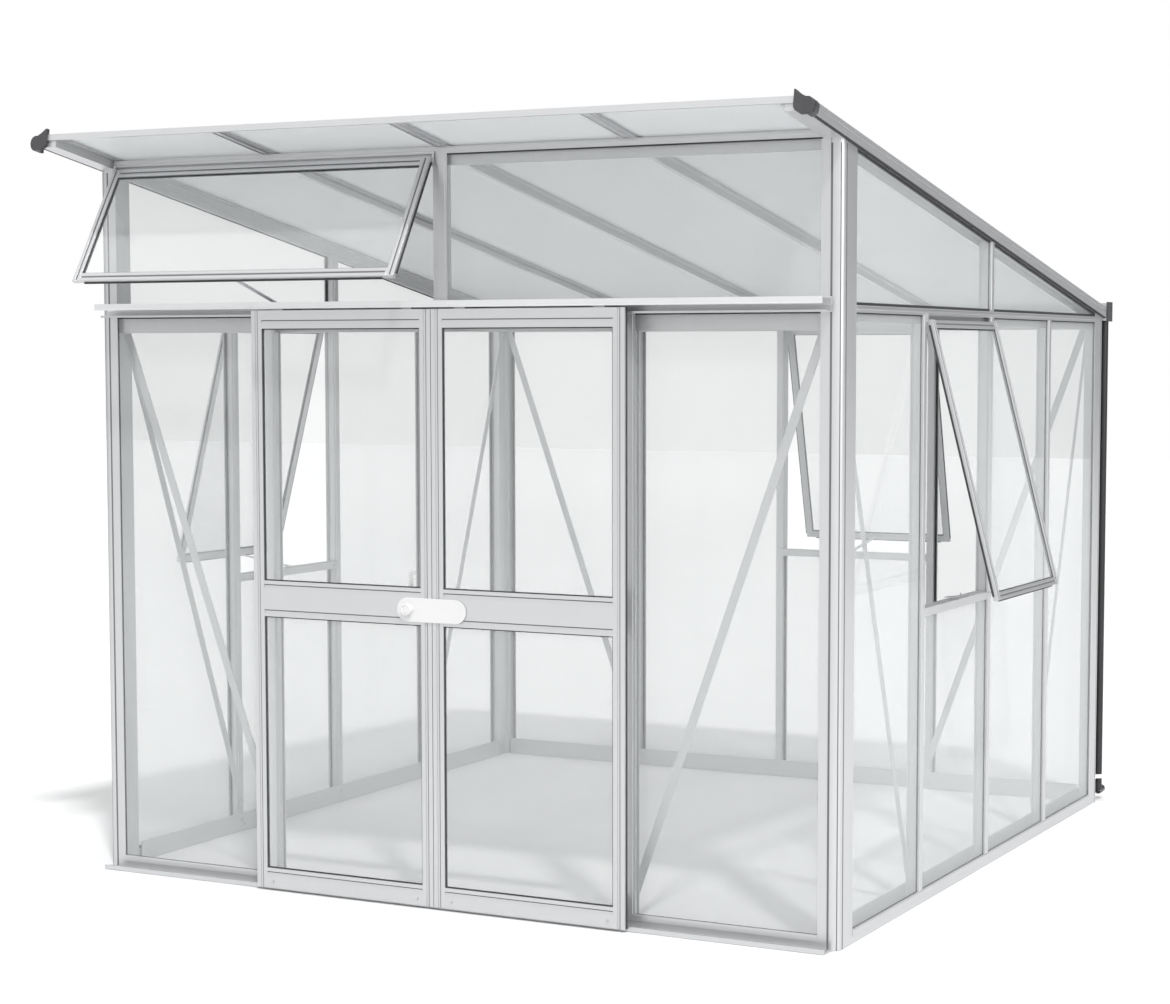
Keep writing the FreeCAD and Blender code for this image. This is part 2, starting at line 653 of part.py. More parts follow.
def brace(wall, side):
    """Flat bar on the inner faces of an end bay, from the post's head down to the next bar's foot."""
    head = less(half_run(wall), "bar_depth + brace_thick + brace_wide / 2 + brace_gap")
    rise = "rail_top - brace_top_drop - brace_low"
    angle = "atan((%s) / (%s))" % (rise, less(head, "module"))
    long = "(%s) / sin(%s)" % (rise, angle)
    run = ("0", long) if side > 0 else (minus(long), "0")
    bar = turn((0, -side, 0), angle, box(run, ("0", "brace_thick"), ("-brace_wide / 2", "brace_wide / 2")))
    return stand(wall, [bar], "-bar_depth", "brace_low", "%d * module" % side)


node("wall_braces", *[brace(wall, side) for wall in WALLS for side in (-1, 1)])


def foot_bolts(wall, at, upstand_low, upstand_high):
    """Two bolt heads low on the sill's inner upstand and one above them."""
    deep = ("bar_depth + lip_thick", "bar_depth + lip_thick + bolt_long")
    heads = [(-1, upstand_low), (1, upstand_low), (0, upstand_high)]
    return [wall_rod(wall, "bolt_radius", plus(at, "%d * bolt_apart" % side), deep, up)
            for side, up in heads]


bolts = []
for wall in ("left", "right", "back"):
    for step in (-1, 0, 1):
        bolts += foot_bolts(wall, "%d * module" % step, "bolt_up", "bolt_up + bolt_rise")
node("frame_bolts", *bolts)


# ---- vents --------------------------------------------------------------------------------------
class Vent:
    """A top-hung vent: its wall, its run seen from outside, hinge height, height and angle."""

    def __init__(self, name, wall, low, high, hinge, lowest, sill_top, bar, angle):
        self.name = name
        self.wall = wall
        self.low = low
        self.high = high
        self.hinge = hinge
        self.tall = less(hinge, lowest)
        self.sill_down = less(hinge, sill_top)
        self.bar = bar
        self.angle = angle
        self.middle = "(%s) / 2" % plus(low, high)

    def swung(self, *shapes):
        """Shapes drawn closed, turned open about the hinge line and put on the wall."""
        return stand(self.wall, [turn((-1, 0, 0), self.angle, *shapes)], "hinge_out", self.hinge)

    def bars(self):
        """Two stiles, a head and a foot. The head carries the pin that the vent hangs on."""
        out = ("-vent_thick", "0")
        up = (minus(self.tall), "-vent_top_gap")
        inner = (plus(self.low, self.bar), less(self.high, self.bar))
        left = box((self.low, inner[0]), out, up)
        right = box((inner[1], self.high), out, up)
        pin_low = less(self.low, "ear_thick + ear_gap")
        pin_long = less(self.high, self.low) + " + 2 * (ear_thick + ear_gap)"
        pin = rod("hinge_bead", pin_long, pin_low, "0", "0", "x")
        neck = box(inner, ("-vent_thick / 4", "0"), (plus(up[1], "-ear_gap"), "0"))
        head = box(inner, out, (less(up[1], self.bar), up[1]))
        foot = box(inner, out, (up[0], plus(up[0], self.bar)))
        pin_x = less(self.middle, "stay_wide / 2 + stay_play + lug_thick")
        stay_z = plus(up[0], "stay_up")
        lugs = []
        for start in (pin_x, plus(self.middle, "stay_wide / 2 + stay_play")):
            lugs.append(box((start, plus(start, "lug_thick")), ("-ear_gap", "lug_out + stay_pin * 2"),
                            (less(stay_z, "stay_eye"), plus(stay_z, "stay_eye"))))
        stay_pin = rod("stay_pin", "stay_wide + 2 * (stay_play + lug_thick)", pin_x, "lug_out", stay_z, "x")
        return self.swung(left, right, fuse(head, neck, pin), fuse(foot, stay_pin, *lugs))

    def glass(self):
        """The pane between the four bars."""
        run = (plus(self.low, self.bar), less(self.high, self.bar))
        mid = "-vent_thick / 2"
        pane = box(run, (mid + " - pane_thick / 2", mid + " + pane_thick / 2"),
                   (plus(minus(self.tall), self.bar), less("-vent_top_gap", self.bar)))
        return self.swung(pane)

    def ears(self):
        """Two plates on the wall that the ends of the pin turn in."""
        ears = []
        for start in (less(self.low, "ear_thick + ear_gap"), plus(self.high, "ear_gap")):
            plate = box((start, plus(start, "ear_thick")), ("-ear_reach", "hinge_out"),
                        ("-ear_low", "hinge_drop + ear_above"))
            hole = rod("hinge_bead + ear_play", "ear_thick", start, "0", "0", "x")
            ears.append(stand(self.wall, [cut(plate, hole)], "hinge_out", self.hinge))
        return ears

    def stay(self):
        """Flat stay bar from the vent's foot to the peg on the sill, with an eye and a hole."""
        arm = less(self.tall, "stay_up")
        pin_y = "lug_out * cos(%s) - (%s) * sin(%s)" % (self.angle, arm, self.angle)
        pin_z = "-lug_out * sin(%s) - (%s) * cos(%s)" % (self.angle, arm, self.angle)
        drop = less(pin_z, plus(minus(self.sill_down), "stay_rise"))
        reach = less("hinge_out + peg_in", pin_y)
        slope = "atan((%s) / (%s))" % (drop, reach)
        long = "(%s) / cos(%s)" % (reach, slope)
        eye = rod("stay_eye", "stay_wide", "-stay_wide / 2", "0", "0", "x")
        flat = box(("-stay_wide / 2", "stay_wide / 2"), ("0", plus(long, "stay_over")),
                   ("-stay_thick / 2", "stay_thick / 2"))
        eye_hole = rod("stay_pin + stay_play", "stay_wide", "-stay_wide / 2", "0", "0", "x")
        peg_hole = rod("stay_hole", "stay_thick * 2", "0", long, "-stay_thick")
        bar = turn((-1, 0, 0), slope, cut(fuse(eye, flat), eye_hole, peg_hole))
        place(bar, self.middle, pin_y, pin_z)
        return stand(self.wall, [bar], "hinge_out", self.hinge)

    def pegs(self):
        """Two pegs on the sill under the stay."""
        pegs = []
        for step in (0, 1):
            peg = rod("peg_radius", "peg_tall", plus(self.middle, "%d * peg_apart" % step),
                      "hinge_out + peg_in", minus(self.sill_down))
            pegs.append(stand(self.wall, [peg], "hinge_out", self.hinge))
        return pegs


WALL_HINGE = "rail_top - rail_face - hinge_drop"
WALL_FOOT = "vent_sill_top + vent_sill_gap"


def wall_vent(name, wall, low, high):
    return Vent(name, wall, low, high, WALL_HINGE, WALL_FOOT, "vent_sill_top", "vent_bar", "vent_angle")


vents = [
    Vent("awning_vent", "front", "-width / 2 + %s + awning_end_gap" % flange_of("front"),
         "-web_width / 2 - awning_end_gap * 2.6", "%s - hinge_drop" % BEAM_LOW,
         HOOD_TOP + " + vent_sill_gap", "rail_top + awning_seat", "awning_bar", "awning_angle"),
    wall_vent("left_vent", "left", "vent_side_gap", "module - vent_side_gap"),
    wall_vent("right_vent", "right", "-module + vent_side_gap", "-vent_side_gap"),
    wall_vent("back_vent", "back", "-module + vent_side_gap", "-vent_side_gap"),
]
for vent in vents:
    node(vent.name + "_bars", vent.bars())
    node(vent.name + "_glass", vent.glass())
    node(vent.name + "_stay", vent.stay())
node("vent_hinge_ears", *[ear for vent in vents for ear in vent.ears()])
node("stay_pegs", *[peg for vent in vents for peg in vent.pegs()])


def vent_sill(wall, low, high):
    """Sill under a vent: a face between the caps, a flat top and an inner leg."""
    face = wall_box(wall, (plus(low, "cap_width / 2"), less(high, "cap_width / 2")), ("0", "cap_thick"),
                    (VENT_SILL_LOW, "vent_sill_top"))
    run = (plus(low, "flange_width / 2"), less(high, "flange_width / 2"))
    top = wall_box(wall, run, ("cap_thick", "bar_depth"), ("vent_sill_top - lip_thick", "vent_sill_top"))
    leg = wall_box(wall, run, ("bar_depth - lip_thick", "bar_depth"), (VENT_SILL_LOW, "vent_sill_top"))
    return fuse(face, top, leg)


node("vent_sills", vent_sill("left", "-module", "0"), vent_sill("right", "-module", "0"),
     vent_sill("back", "0", "module"))


# ---- doors --------------------------------------------------------------------------------------
DOOR_DEEP = ("-door_face", "-door_face + door_thick")
DOOR_BACK = DOOR_DEEP[1]
DOOR_TOP = HOOD_LOW + " - door_under_hood"
MID_LOW = "mid_height - mid_rail / 2"
MID_HIGH = "mid_height + mid_rail / 2"


def door_run(side, inner, outer):
    """An x range on a door, measured from the line where the doors meet."""
    low, high = (outer, inner) if side < 0 else (inner, outer)
    return ("%d * (%s)" % (side, low), "%d * (%s)" % (side, high))


def door_box(side, inner, outer, deep, up):
    return wall_box("front", door_run(side, inner, outer), deep, up)


FACE_GROOVE = ("-door_face", "-door_face + groove_deep")
MEETING = "door_split"
OUTER = "door_split + door_width"


def door_stile(side, inner, outer):
    bar = door_box(side, inner, outer, DOOR_DEEP, ("door_bottom", DOOR_TOP))
    middle = "(%s) / 2" % plus(inner, outer)
    groove = door_box(side, less(middle, "groove_wide / 2"), plus(middle, "groove_wide / 2"),
                      FACE_GROOVE, ("door_bottom", DOOR_TOP))
    return cut(bar, groove)


def door_rail(side, low, high, grooves):
    """A rail between the stiles, with grooves that start at the given heights."""
    run = (MEETING + " + stile", OUTER + " - stile")
    bar = door_box(side, run[0], run[1], DOOR_DEEP, (low, high))
    tools = [door_box(side, run[0], run[1], FACE_GROOVE, (at, plus(at, "groove_wide"))) for at in grooves]
    return bar, tools


def door_bars(side):
    """Two stiles and three rails. The left door's middle rail has the lock's bore."""
    stiles = [door_stile(side, MEETING, MEETING + " + stile"), door_stile(side, OUTER + " - stile", OUTER)]
    top, top_tools = door_rail(side, DOOR_TOP + " - top_rail", DOOR_TOP,
                               [DOOR_TOP + " - top_groove_in - groove_wide"])
    mid, mid_tools = door_rail(side, MID_LOW, MID_HIGH,
                               [MID_LOW + " + groove_in", MID_HIGH + " - groove_in - groove_wide"])
    low, low_tools = door_rail(side, "door_bottom", "door_bottom + bottom_rail",
                               ["door_bottom + bottom_rail - groove_in - groove_wide"])
    if side < 0:
        mid_tools.append(wall_rod("front", "spindle_radius + spindle_play", "-knob_at", DOOR_DEEP,
                                  "lock_height"))
    return stiles + [cut(top, *top_tools), cut(mid, *mid_tools), cut(low, *low_tools)]


def door_glass(side):
    mid = "-door_face + door_thick / 2"
    deep = (mid + " - pane_thick / 2", mid + " + pane_thick / 2")
    run = (MEETING + " + stile", OUTER + " - stile")
    return [door_box(side, run[0], run[1], deep, ("door_bottom + bottom_rail", MID_LOW)),
            door_box(side, run[0], run[1], deep, (MID_HIGH, DOOR_TOP + " - top_rail"))]


HANGERS = (MEETING + " + hanger_from_edge", OUTER + " - hanger_from_edge")


def hanger(side, at):
    """Plate on the back of the top rail with the axle that a roller turns on."""
    plate = door_box(side, at + " - hanger_wide / 2", at + " + hanger_wide / 2",
                     (DOOR_BACK, DOOR_BACK + " + hanger_thick"),
                     (DOOR_TOP + " - hanger_low", DOOR_TOP + " + hanger_above"))
    middle = "%d * (%s)" % (side, at)
    tip = "-roller_at + roller_width / 2 + roller_play"
    axle = wall_rod("front", "axle_radius", middle, (DOOR_BACK + " + hanger_thick", tip), ROLLER_Z)
    head = wall_rod("front", "axle_radius * 2", middle, (tip, plus(tip, "hanger_thick")), ROLLER_Z)
    return plate, fuse(axle, head)


def roller(side, at):
    middle = "%d * (%s)" % (side, at)
    deep = ("-roller_at - roller_width / 2", "-roller_at + roller_width / 2")
    return cut(wall_rod("front", "roller_radius", middle, deep, ROLLER_Z),
               wall_rod("front", "axle_radius + roller_play", middle, deep, ROLLER_Z))


def door_guide(side, at):
    """Bracket that reaches over the track's lip and runs between the lips."""
    low = "sill_track_lip + guide_over"
    run = (at + " - guide_wide / 2", at + " + guide_wide / 2")
    plate = door_box(side, run[0], run[1], (DOOR_BACK, DOOR_BACK + " + lip_thick"),
                     (plus(low, "lip_thick"), "door_bottom + bottom_rail"))
    blade = ("-(sill_track_reach + guide_lip_at) / 2", "-(sill_track_reach + guide_lip_at) / 2 + lip_thick")
    arm = door_box(side, run[0], run[1], (DOOR_BACK, blade[1]), (low, plus(low, "lip_thick")))
    tongue = door_box(side, run[0], run[1], blade, ("lip_thick + 2", low))
    return plate, arm, tongue


for name, side in (("left", -1), ("right", 1)):
    node("door_%s_bars" % name, *door_bars(side))
    node("door_%s_glass" % name, *door_glass(side))
    node("door_%s_hangers" % name, *hanger(side, HANGERS[0]), *hanger(side, HANGERS[1]))
    node("door_%s_guides" % name, *door_guide(side, MEETING + " + guide_from_edge"),
         *door_guide(side, OUTER + " - guide_from_edge"))
    node("roller_%s_inner" % name, roller(side, HANGERS[0]))
    node("roller_%s_outer" % name, roller(side, HANGERS[1]))


# ---- lock ---------------------------------------------------------------------------------------
PLATE_DEEP = ("-door_face - plate_pad - plate_thick", "-door_face - plate_pad")
CAM_DEEP = (DOOR_BACK + " + cam_behind", DOOR_BACK + " + cam_behind + cam_thick")


def lock_plate():
    """Round-ended plate on the left door that laps over the right one.

    The pad behind it stops at the line where the doors meet.
    """
    middle = "mid_height - 10"
    half = "plate_tall / 2"
    up = (less(middle, half), plus(middle, half))
    left, right = ("-plate_left + " + half, "plate_right - " + half)
    pad_deep = ("-door_face - plate_pad", "-door_face")
    cover = fuse(wall_box("front", (left, right), PLATE_DEEP, up),
                 wall_rod("front", half, left, PLATE_DEEP, middle),
                 wall_rod("front", half, right, PLATE_DEEP, middle))
    pad = fuse(wall_box("front", (left, "-door_split"), pad_deep, up),
               wall_rod("front", half, left, pad_deep, middle))
    bore = wall_rod("front", "spindle_radius + spindle_play", "-knob_at", (PLATE_DEEP[0], "-door_face"),
                    "lock_height")
    return cut(fuse(cover, pad), bore)


def lock_knob():
    """Knob, spindle and the hooked cam behind the door. It stands unlocked, with the cam upright."""
    gap = "spindle_play"
    knob = wall_rod("front", "knob_radius", "-knob_at",
                    (PLATE_DEEP[0] + " - knob_long - " + gap, PLATE_DEEP[0] + " - " + gap), "lock_height")
    spindle = wall_rod("front", "spindle_radius", "-knob_at", (PLATE_DEEP[0] + " - knob_long", CAM_DEEP[1]),
                       "lock_height")
    arm = wall_box("front", ("-knob_at - cam_wide / 2", "-knob_at + cam_wide / 2"), CAM_DEEP,
                   ("lock_height - cam_wide / 2", "lock_height + cam_long"))
    hook = wall_box("front", ("-knob_at + cam_wide / 2", "-knob_at + cam_wide / 2 + hook_drop"), CAM_DEEP,
                    ("lock_height + cam_long - hook_wide", "lock_height + cam_long"))
    return fuse(knob, spindle, arm, hook)


def lock_strike():
    """Block on the back of the right door that the cam's hook drops behind."""
    far = "cam_long - hook_wide - knob_at - ear_gap"
    high = "lock_height - cam_wide / 2 - spindle_play"
    return wall_box("front", (less(far, "strike_wide"), far), (DOOR_BACK, DOOR_BACK + " + strike_deep"),
                    (less(high, "strike_tall"), high))


node("lock_plate", lock_plate())
node("lock_knob", lock_knob())
node("lock_strike", lock_strike())

# ---- check and write ----------------------------------------------------------------------------
doc.recompute()
for item in doc.Objects:
    if "Invalid" in item.State or "Error" in item.State:
        raise RuntimeError("%s is %s" % (item.Label, item.State))
for item in NODES:
    if item.Shape.isNull() or not item.Shape.isValid() or not item.Shape.Solids:
        raise RuntimeError("%s has no sound shape" % item.Label)
for item in NODES:
    item.Shape.exportStep("parts/%s.step" % item.Label)
print(len(NODES), "sub-parts")
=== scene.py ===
# %% [markdown]
# # A lean-to greenhouse in aluminium and glass
# The frame of this greenhouse comes from a CAD model, where every bar already has its true size and
# place. This lesson gives each part its finish and adds the small pieces that make it look built:
# rubber seals, ribs on the bars, hexagon bolts, moulded caps. Everything is in metres.

# %% Load the CAD frame
import json
import math

import bmesh
import bpy
from mathutils import Matrix, Vector


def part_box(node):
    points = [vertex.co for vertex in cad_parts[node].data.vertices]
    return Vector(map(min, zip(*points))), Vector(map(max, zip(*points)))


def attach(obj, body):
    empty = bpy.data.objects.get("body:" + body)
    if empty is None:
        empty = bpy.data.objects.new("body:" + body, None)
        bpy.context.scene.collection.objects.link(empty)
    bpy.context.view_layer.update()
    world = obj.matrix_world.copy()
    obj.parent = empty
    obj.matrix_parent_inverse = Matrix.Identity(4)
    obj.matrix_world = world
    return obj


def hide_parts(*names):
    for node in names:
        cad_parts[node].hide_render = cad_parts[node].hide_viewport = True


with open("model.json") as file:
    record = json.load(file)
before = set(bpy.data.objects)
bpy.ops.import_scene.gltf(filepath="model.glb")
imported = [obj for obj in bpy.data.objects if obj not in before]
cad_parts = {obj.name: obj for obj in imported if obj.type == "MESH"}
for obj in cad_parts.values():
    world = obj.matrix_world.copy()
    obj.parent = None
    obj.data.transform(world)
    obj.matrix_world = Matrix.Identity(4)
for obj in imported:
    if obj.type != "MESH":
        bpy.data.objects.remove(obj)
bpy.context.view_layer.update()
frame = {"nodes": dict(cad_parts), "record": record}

# %% [markdown]
# ## A short way to write finishes
# A finish is a small network of shader nodes. Written node by node it is long and hard to follow, so
# one class wraps an output socket and lets it take part in sums. `Recipe.add` makes any other node.


# %% Shader maths
class Wire:
    """An output socket that can be added and multiplied."""

    def __init__(self, recipe, socket):
        self.recipe = recipe
        self.socket = socket

    def _math(self, operation, *values):
        return self.recipe.add("ShaderNodeMath", {"operation": operation}, dict(enumerate(values)))

    def __add__(self, other):
        return self._math("ADD", self, other)

    def __mul__(self, other):
        return self._math("MULTIPLY", self, other)

    __radd__ = __add__
    __rmul__ = __mul__


class Recipe:
    """One material and the nodes that feed its Principled shader."""

    def __init__(self, name, **sockets):
        self.material = bpy.data.materials.new(name)
        self.material.use_nodes = True
        self.tree = self.material.node_tree
        self.shader = self.tree.nodes["Principled BSDF"]
        self.feed(self.shader, sockets)

    def feed(self, node, sockets):
        for key, value in sockets.items():
            name = key.replace("_", " ") if isinstance(key, str) else key
            if isinstance(value, Wire):
                self.tree.links.new(value.socket, node.inputs[name])
            else:
                node.inputs[name].default_value = value

    def add(self, kind, settings=None, sockets=None, output=0):
        node = self.tree.nodes.new(kind)
        for key, value in (settings or {}).items():
            setattr(node, key, value)
        self.feed(node, sockets or {})
        return Wire(self, node.outputs[output])

    def place(self, scale):
        """Object coordinates, stretched by a scale for each axis."""
        here = self.add("ShaderNodeTexCoord", output="Object")
        return self.add("ShaderNodeMapping", sockets={"Vector": here, "Scale": scale})

    def noise(self, scale, detail=3.0, stretch=(1, 1, 1)):
        return self.add("ShaderNodeTexNoise", sockets={"Vector": self.place(stretch), "Scale": scale,
                                                       "Detail": detail})

    def blend(self, factor, low, high):
        """A colour between two colours."""
        node = self.tree.nodes.new("ShaderNodeMix")
        node.data_type = "RGBA"
        self.feed(node, {0: factor, 6: low, 7: high})
        return Wire(self, node.outputs[2])

    def bump(self, height, strength, distance):
        return self.add("ShaderNodeBump", sockets={"Height": height, "Strength": strength,
                                                   "Distance": distance})

    def finish(self, **sockets):
        self.feed(self.shader, sockets)
        return self.material


# %% [markdown]
# ## Anodised aluminium
# The bars are extruded, so the metal is drawn through a die and keeps faint lines along its length.
# The same finish is made three times, with the lines along X, Y and Z: noise that is squeezed across
# the bar and left long down its length. Anodising leaves a fine satin, so the roughness wanders a
# little, and the colour has a slow, barely seen drift. The door hood has a lighter copy of the same
# metal, a painted highlight that stands in for the light its face catches.


# %% Aluminium with its draw lines along one axis
# the hood's tone is lighter than the frame's as a painted highlight, not a different metal
FRAME_TONE, HOOD_HIGHLIGHT_TONE = 0.58, 0.74
DRAWN_THIN = 60.0


def aluminium(name, along, tone=FRAME_TONE):
    stretch = [1.0 if axis == along else DRAWN_THIN for axis in "xyz"]
    finish = Recipe(name, Metallic=0.7, IOR=1.5)
    lines = finish.noise(9.0, 2.0, stretch)
    drift = finish.noise(1.3, 2.0)
    grain = finish.noise(900.0, 2.0)
    dull = (tone * 0.93, tone * 0.94, tone * 0.96, 1)
    clean = (tone * 1.05, tone * 1.06, tone * 1.07, 1)
    colour = finish.blend(drift * 0.6 + lines * 0.4, dull, clean)
    return finish.finish(Base_Color=colour, Roughness=0.27 + lines * 0.12 + drift * 0.05,
                         Normal=finish.bump(lines * 0.7 + grain * 0.3, 0.06, 0.0004))


ALUMINIUM = {axis: aluminium("anodised_aluminium_" + axis, axis) for axis in "xyz"}
# painted highlight: the hood's copy of the frame aluminium, made lighter for the light it catches
HOOD_ALUMINIUM_PAINTED_HIGHLIGHT = aluminium("hood_aluminium_painted_highlight", "x", HOOD_HIGHLIGHT_TONE)
print("aluminium finishes", sorted(ALUMINIUM))

# %% [markdown]
# ## Glass
# Horticultural glass is thin and clear with a trace of green. True refraction through so many panes
# would be slow and would dim the ones behind, so each pane is mostly see-through by its alpha, and
# keeps a sharp reflection that grows at a grazing angle. The alpha also carries a faint film that
# rain leaves, and a painted reflection: a little more grey haze below the doors' middle rail, which
# stands in for the dark horizon mirrored in the lower panes.


# %% Clear glass
MIRRORED_HORIZON_TOP, MIRRORED_HORIZON_FULL = 1.25, 0.95


def clear_glass():
    finish = Recipe("clear_glass", Roughness=0.02, IOR=1.5, Specular_IOR_Level=0.9)
    film = finish.noise(2.2, 4.0, (1, 1, 0.35))
    edge = finish.add("ShaderNodeLayerWeight", sockets={"Blend": 0.32}, output="Facing")
    here = finish.place((1, 1, 1))
    height = finish.add("ShaderNodeSeparateXYZ", sockets={"Vector": here}, output="Z")
    # painted reflection: below about 1.25 m the panes grow a little more opaque and grey, standing in
    # for the dark horizon they mirror
    painted_horizon_reflection = finish.add("ShaderNodeMapRange", {"interpolation_type": "SMOOTHSTEP"},
                        {"Value": height + film * 0.12, "From Min": MIRRORED_HORIZON_TOP,
                         "From Max": MIRRORED_HORIZON_FULL})
    colour = finish.blend(film, (0.58, 0.605, 0.605, 1), (0.66, 0.68, 0.68, 1))
    return finish.finish(Base_Color=colour,
                         Alpha=0.13 + edge * edge * 0.38 + film * 0.03 + painted_horizon_reflection * 0.045)


GLASS = clear_glass()
print("glass haze from", MIRRORED_HORIZON_TOP, "down to", MIRRORED_HORIZON_FULL)

# %% [markdown]
# ## Roof sheet
# The roof is fluted plastic sheet: white light passes and shapes behind it fade. The flutes could be
# cut into the mesh, but they are fine and even, so a wave across the width does it as bump, and the
# same wave thins the alpha a little along each flute.


# %% Frosted roof sheet
FLUTES = 30.0


def roof_sheet():
    finish = Recipe("frosted_roof_sheet", Roughness=0.45, IOR=1.45)
    flutes = finish.add("ShaderNodeTexWave", {"wave_type": "BANDS", "bands_direction": "X"},
                        {"Vector": finish.place((1, 1, 1)), "Scale": FLUTES}, output=1)
    cloud = finish.noise(3.0, 3.0)
    colour = finish.blend(cloud, (0.60, 0.625, 0.635, 1), (0.68, 0.70, 0.705, 1))
    return finish.finish(Base_Color=colour, Alpha=0.50 + flutes * 0.10 + cloud * 0.06,
                         Normal=finish.bump(flutes, 0.25, 0.001))


ROOF_SHEET = roof_sheet()
print("roof sheet flutes at scale", FLUTES)

# %% [markdown]
# ## Plastics and rubber
# Moulded plastic is never one flat colour up close: a fine spark-eroded grain breaks up the gloss.
# One short function takes two tones, a roughness and a grain. It makes the dark end caps, the black
# pipe, the white clip, the rollers, the seals and the painted lock, which differ only in those.


# %% Moulded plastics
def moulded(name, low, high, rough, grain=700.0, depth=0.12):
    finish = Recipe(name, IOR=1.48)
    pits = finish.noise(grain, 2.0)
    cloud = finish.noise(6.0, 3.0)
    return finish.finish(Base_Color=finish.blend(cloud, low, high), Roughness=rough + pits * 0.15,
                         Normal=finish.bump(pits, depth, 0.0003))


DARK_CAP = moulded("dark_cap_plastic", (0.035, 0.035, 0.038, 1), (0.06, 0.06, 0.064, 1), 0.38)
PIPE_BLACK = moulded("black_pipe_plastic", (0.012, 0.012, 0.013, 1), (0.022, 0.022, 0.024, 1),
                     0.25)
CLIP_WHITE = moulded("white_clip_plastic", (0.78, 0.78, 0.77, 1), (0.86, 0.86, 0.85, 1), 0.35)
NYLON = moulded("roller_nylon", (0.62, 0.61, 0.57, 1), (0.72, 0.71, 0.68, 1), 0.4)
SEAL = moulded("seal_rubber", (0.018, 0.018, 0.019, 1), (0.04, 0.04, 0.042, 1), 0.55, 400.0, 0.3)
# painted shade: a dark finish for strips laid in grooves that are too shallow to darken by themselves
GROOVE_PAINTED_SHADE = moulded("groove_shade", (0.10, 0.10, 0.105, 1), (0.15, 0.15, 0.155, 1), 0.5, 400.0, 0.2)
LOCK_WHITE = moulded("powder_coat_white", (0.62, 0.62, 0.62, 1), (0.66, 0.66, 0.66, 1), 0.4,
                     260.0, 0.2)
print("moulded finishes", [item.name for item in (DARK_CAP, PIPE_BLACK, CLIP_WHITE, NYLON, SEAL,
                                                  GROOVE_PAINTED_SHADE, LOCK_WHITE)])

# %% [markdown]
# ## Zinc-plated steel
# Bolts, pegs, stays and hangers are plated steel. Plating shows a cloudy bloom and fine scratches
# that run one way, so one noise drives the tone and the roughness, and a stretched one the bump.


# %% Zinc-plated steel
def plated_steel():
    finish = Recipe("plated_steel", Metallic=0.95)
    bloom = finish.noise(60.0, 4.0)
    scratch = finish.noise(300.0, 2.0, (1, 12, 12))
    colour = finish.blend(bloom, (0.50, 0.51, 0.53, 1), (0.68, 0.69, 0.71, 1))
    return finish.finish(Base_Color=colour, Roughness=0.25 + bloom * 0.2,
                         Normal=finish.bump(scratch, 0.1, 0.0003))


STEEL = plated_steel()
print("steel finish", STEEL.name)

# %% [markdown]
# ## Dress the CAD parts
# Each CAD part keeps its mesh and takes a finish in its material slots. The aluminium parts are
# sorted by the axis that their bars run along, so that the draw lines lie the right way.

# %% Give each CAD part its finish
FINISHES = {
    "hood": (HOOD_ALUMINIUM_PAINTED_HIGHLIGHT, "door_hood"),
    "x": (ALUMINIUM["x"], "front_sill door_bottom_track door_head_beam door_roller_track "
          "front_top_beam eave_beam gutter roof_fascia vent_sills awning_vent_bars back_vent_bars"),
    "y": (ALUMINIUM["y"], "wall_sills gable_rails end_rafters middle_rafters"),
    "z": (ALUMINIUM["z"], "front_corner_posts back_corner_posts wall_studs door_jambs "
          "clerestory_mullion gable_king_posts wall_braces door_left_bars door_right_bars "
          "left_vent_bars right_vent_bars vent_hinge_ears"),
    "glass": (GLASS, "left_wall_glass right_wall_glass back_wall_glass front_wall_glass "
              "door_left_glass door_right_glass awning_vent_glass left_vent_glass right_vent_glass "
              "back_vent_glass"),
    "roof": (ROOF_SHEET, "roof_panels"),
    "caps": (DARK_CAP, "plastic_end_caps"),
    "pipe": (PIPE_BLACK, "downpipe downpipe_shoe"),
    "clip": (CLIP_WHITE, "downpipe_clip"),
    "lock": (LOCK_WHITE, "lock_plate lock_knob"),
    "nylon": (NYLON, "roller_left_inner roller_left_outer roller_right_inner roller_right_outer"),
    "steel": (STEEL, "frame_bolts stay_pegs door_left_hangers door_right_hangers door_left_guides "
              "door_right_guides lock_strike awning_vent_stay left_vent_stay right_vent_stay "
              "back_vent_stay"),
}


def coat(piece, material):
    piece.data.materials.clear()
    piece.data.materials.append(material)


dressed = 0
for material, names in FINISHES.values():
    for name in names.split():
        coat(frame["nodes"][name], material)
        dressed += 1
print(dressed, "of", len(frame["nodes"]), "CAD parts dressed")


# %% [markdown]
# ## Working on faces that are already there
# The seals, ribs and bolts all lie on bars and panes of the CAD model. A CAD mesh is loose triangles,
# so a copy is merged and its flat triangles are joined into whole faces. Each whole face then tells
# where a detail goes: its middle, its long direction, its normal. That works for an upright stud, a
# sloping rafter and an open vent alike.


# %% Whole faces of a CAD part
BODIES = frame["record"]["behaviour"]["bodies"]
BODY_OF = {node: body for body, nodes in BODIES.items() for node in nodes}
SAME_PLACE = 1e-5
print(len(BODIES), "bodies carry", len(BODY_OF), "CAD parts")


def whole_faces(node):
    """A bmesh copy of a CAD part with its flat areas joined into single faces."""
    shape = bmesh.new()
    shape.from_mesh(frame["nodes"][node].data)
    bmesh.ops.remove_doubles(shape, verts=shape.verts, dist=SAME_PLACE)
    bmesh.ops.dissolve_limit(shape, angle_limit=math.radians(1), verts=shape.verts,
                             edges=shape.edges)
    shape.normal_update()
    return shape


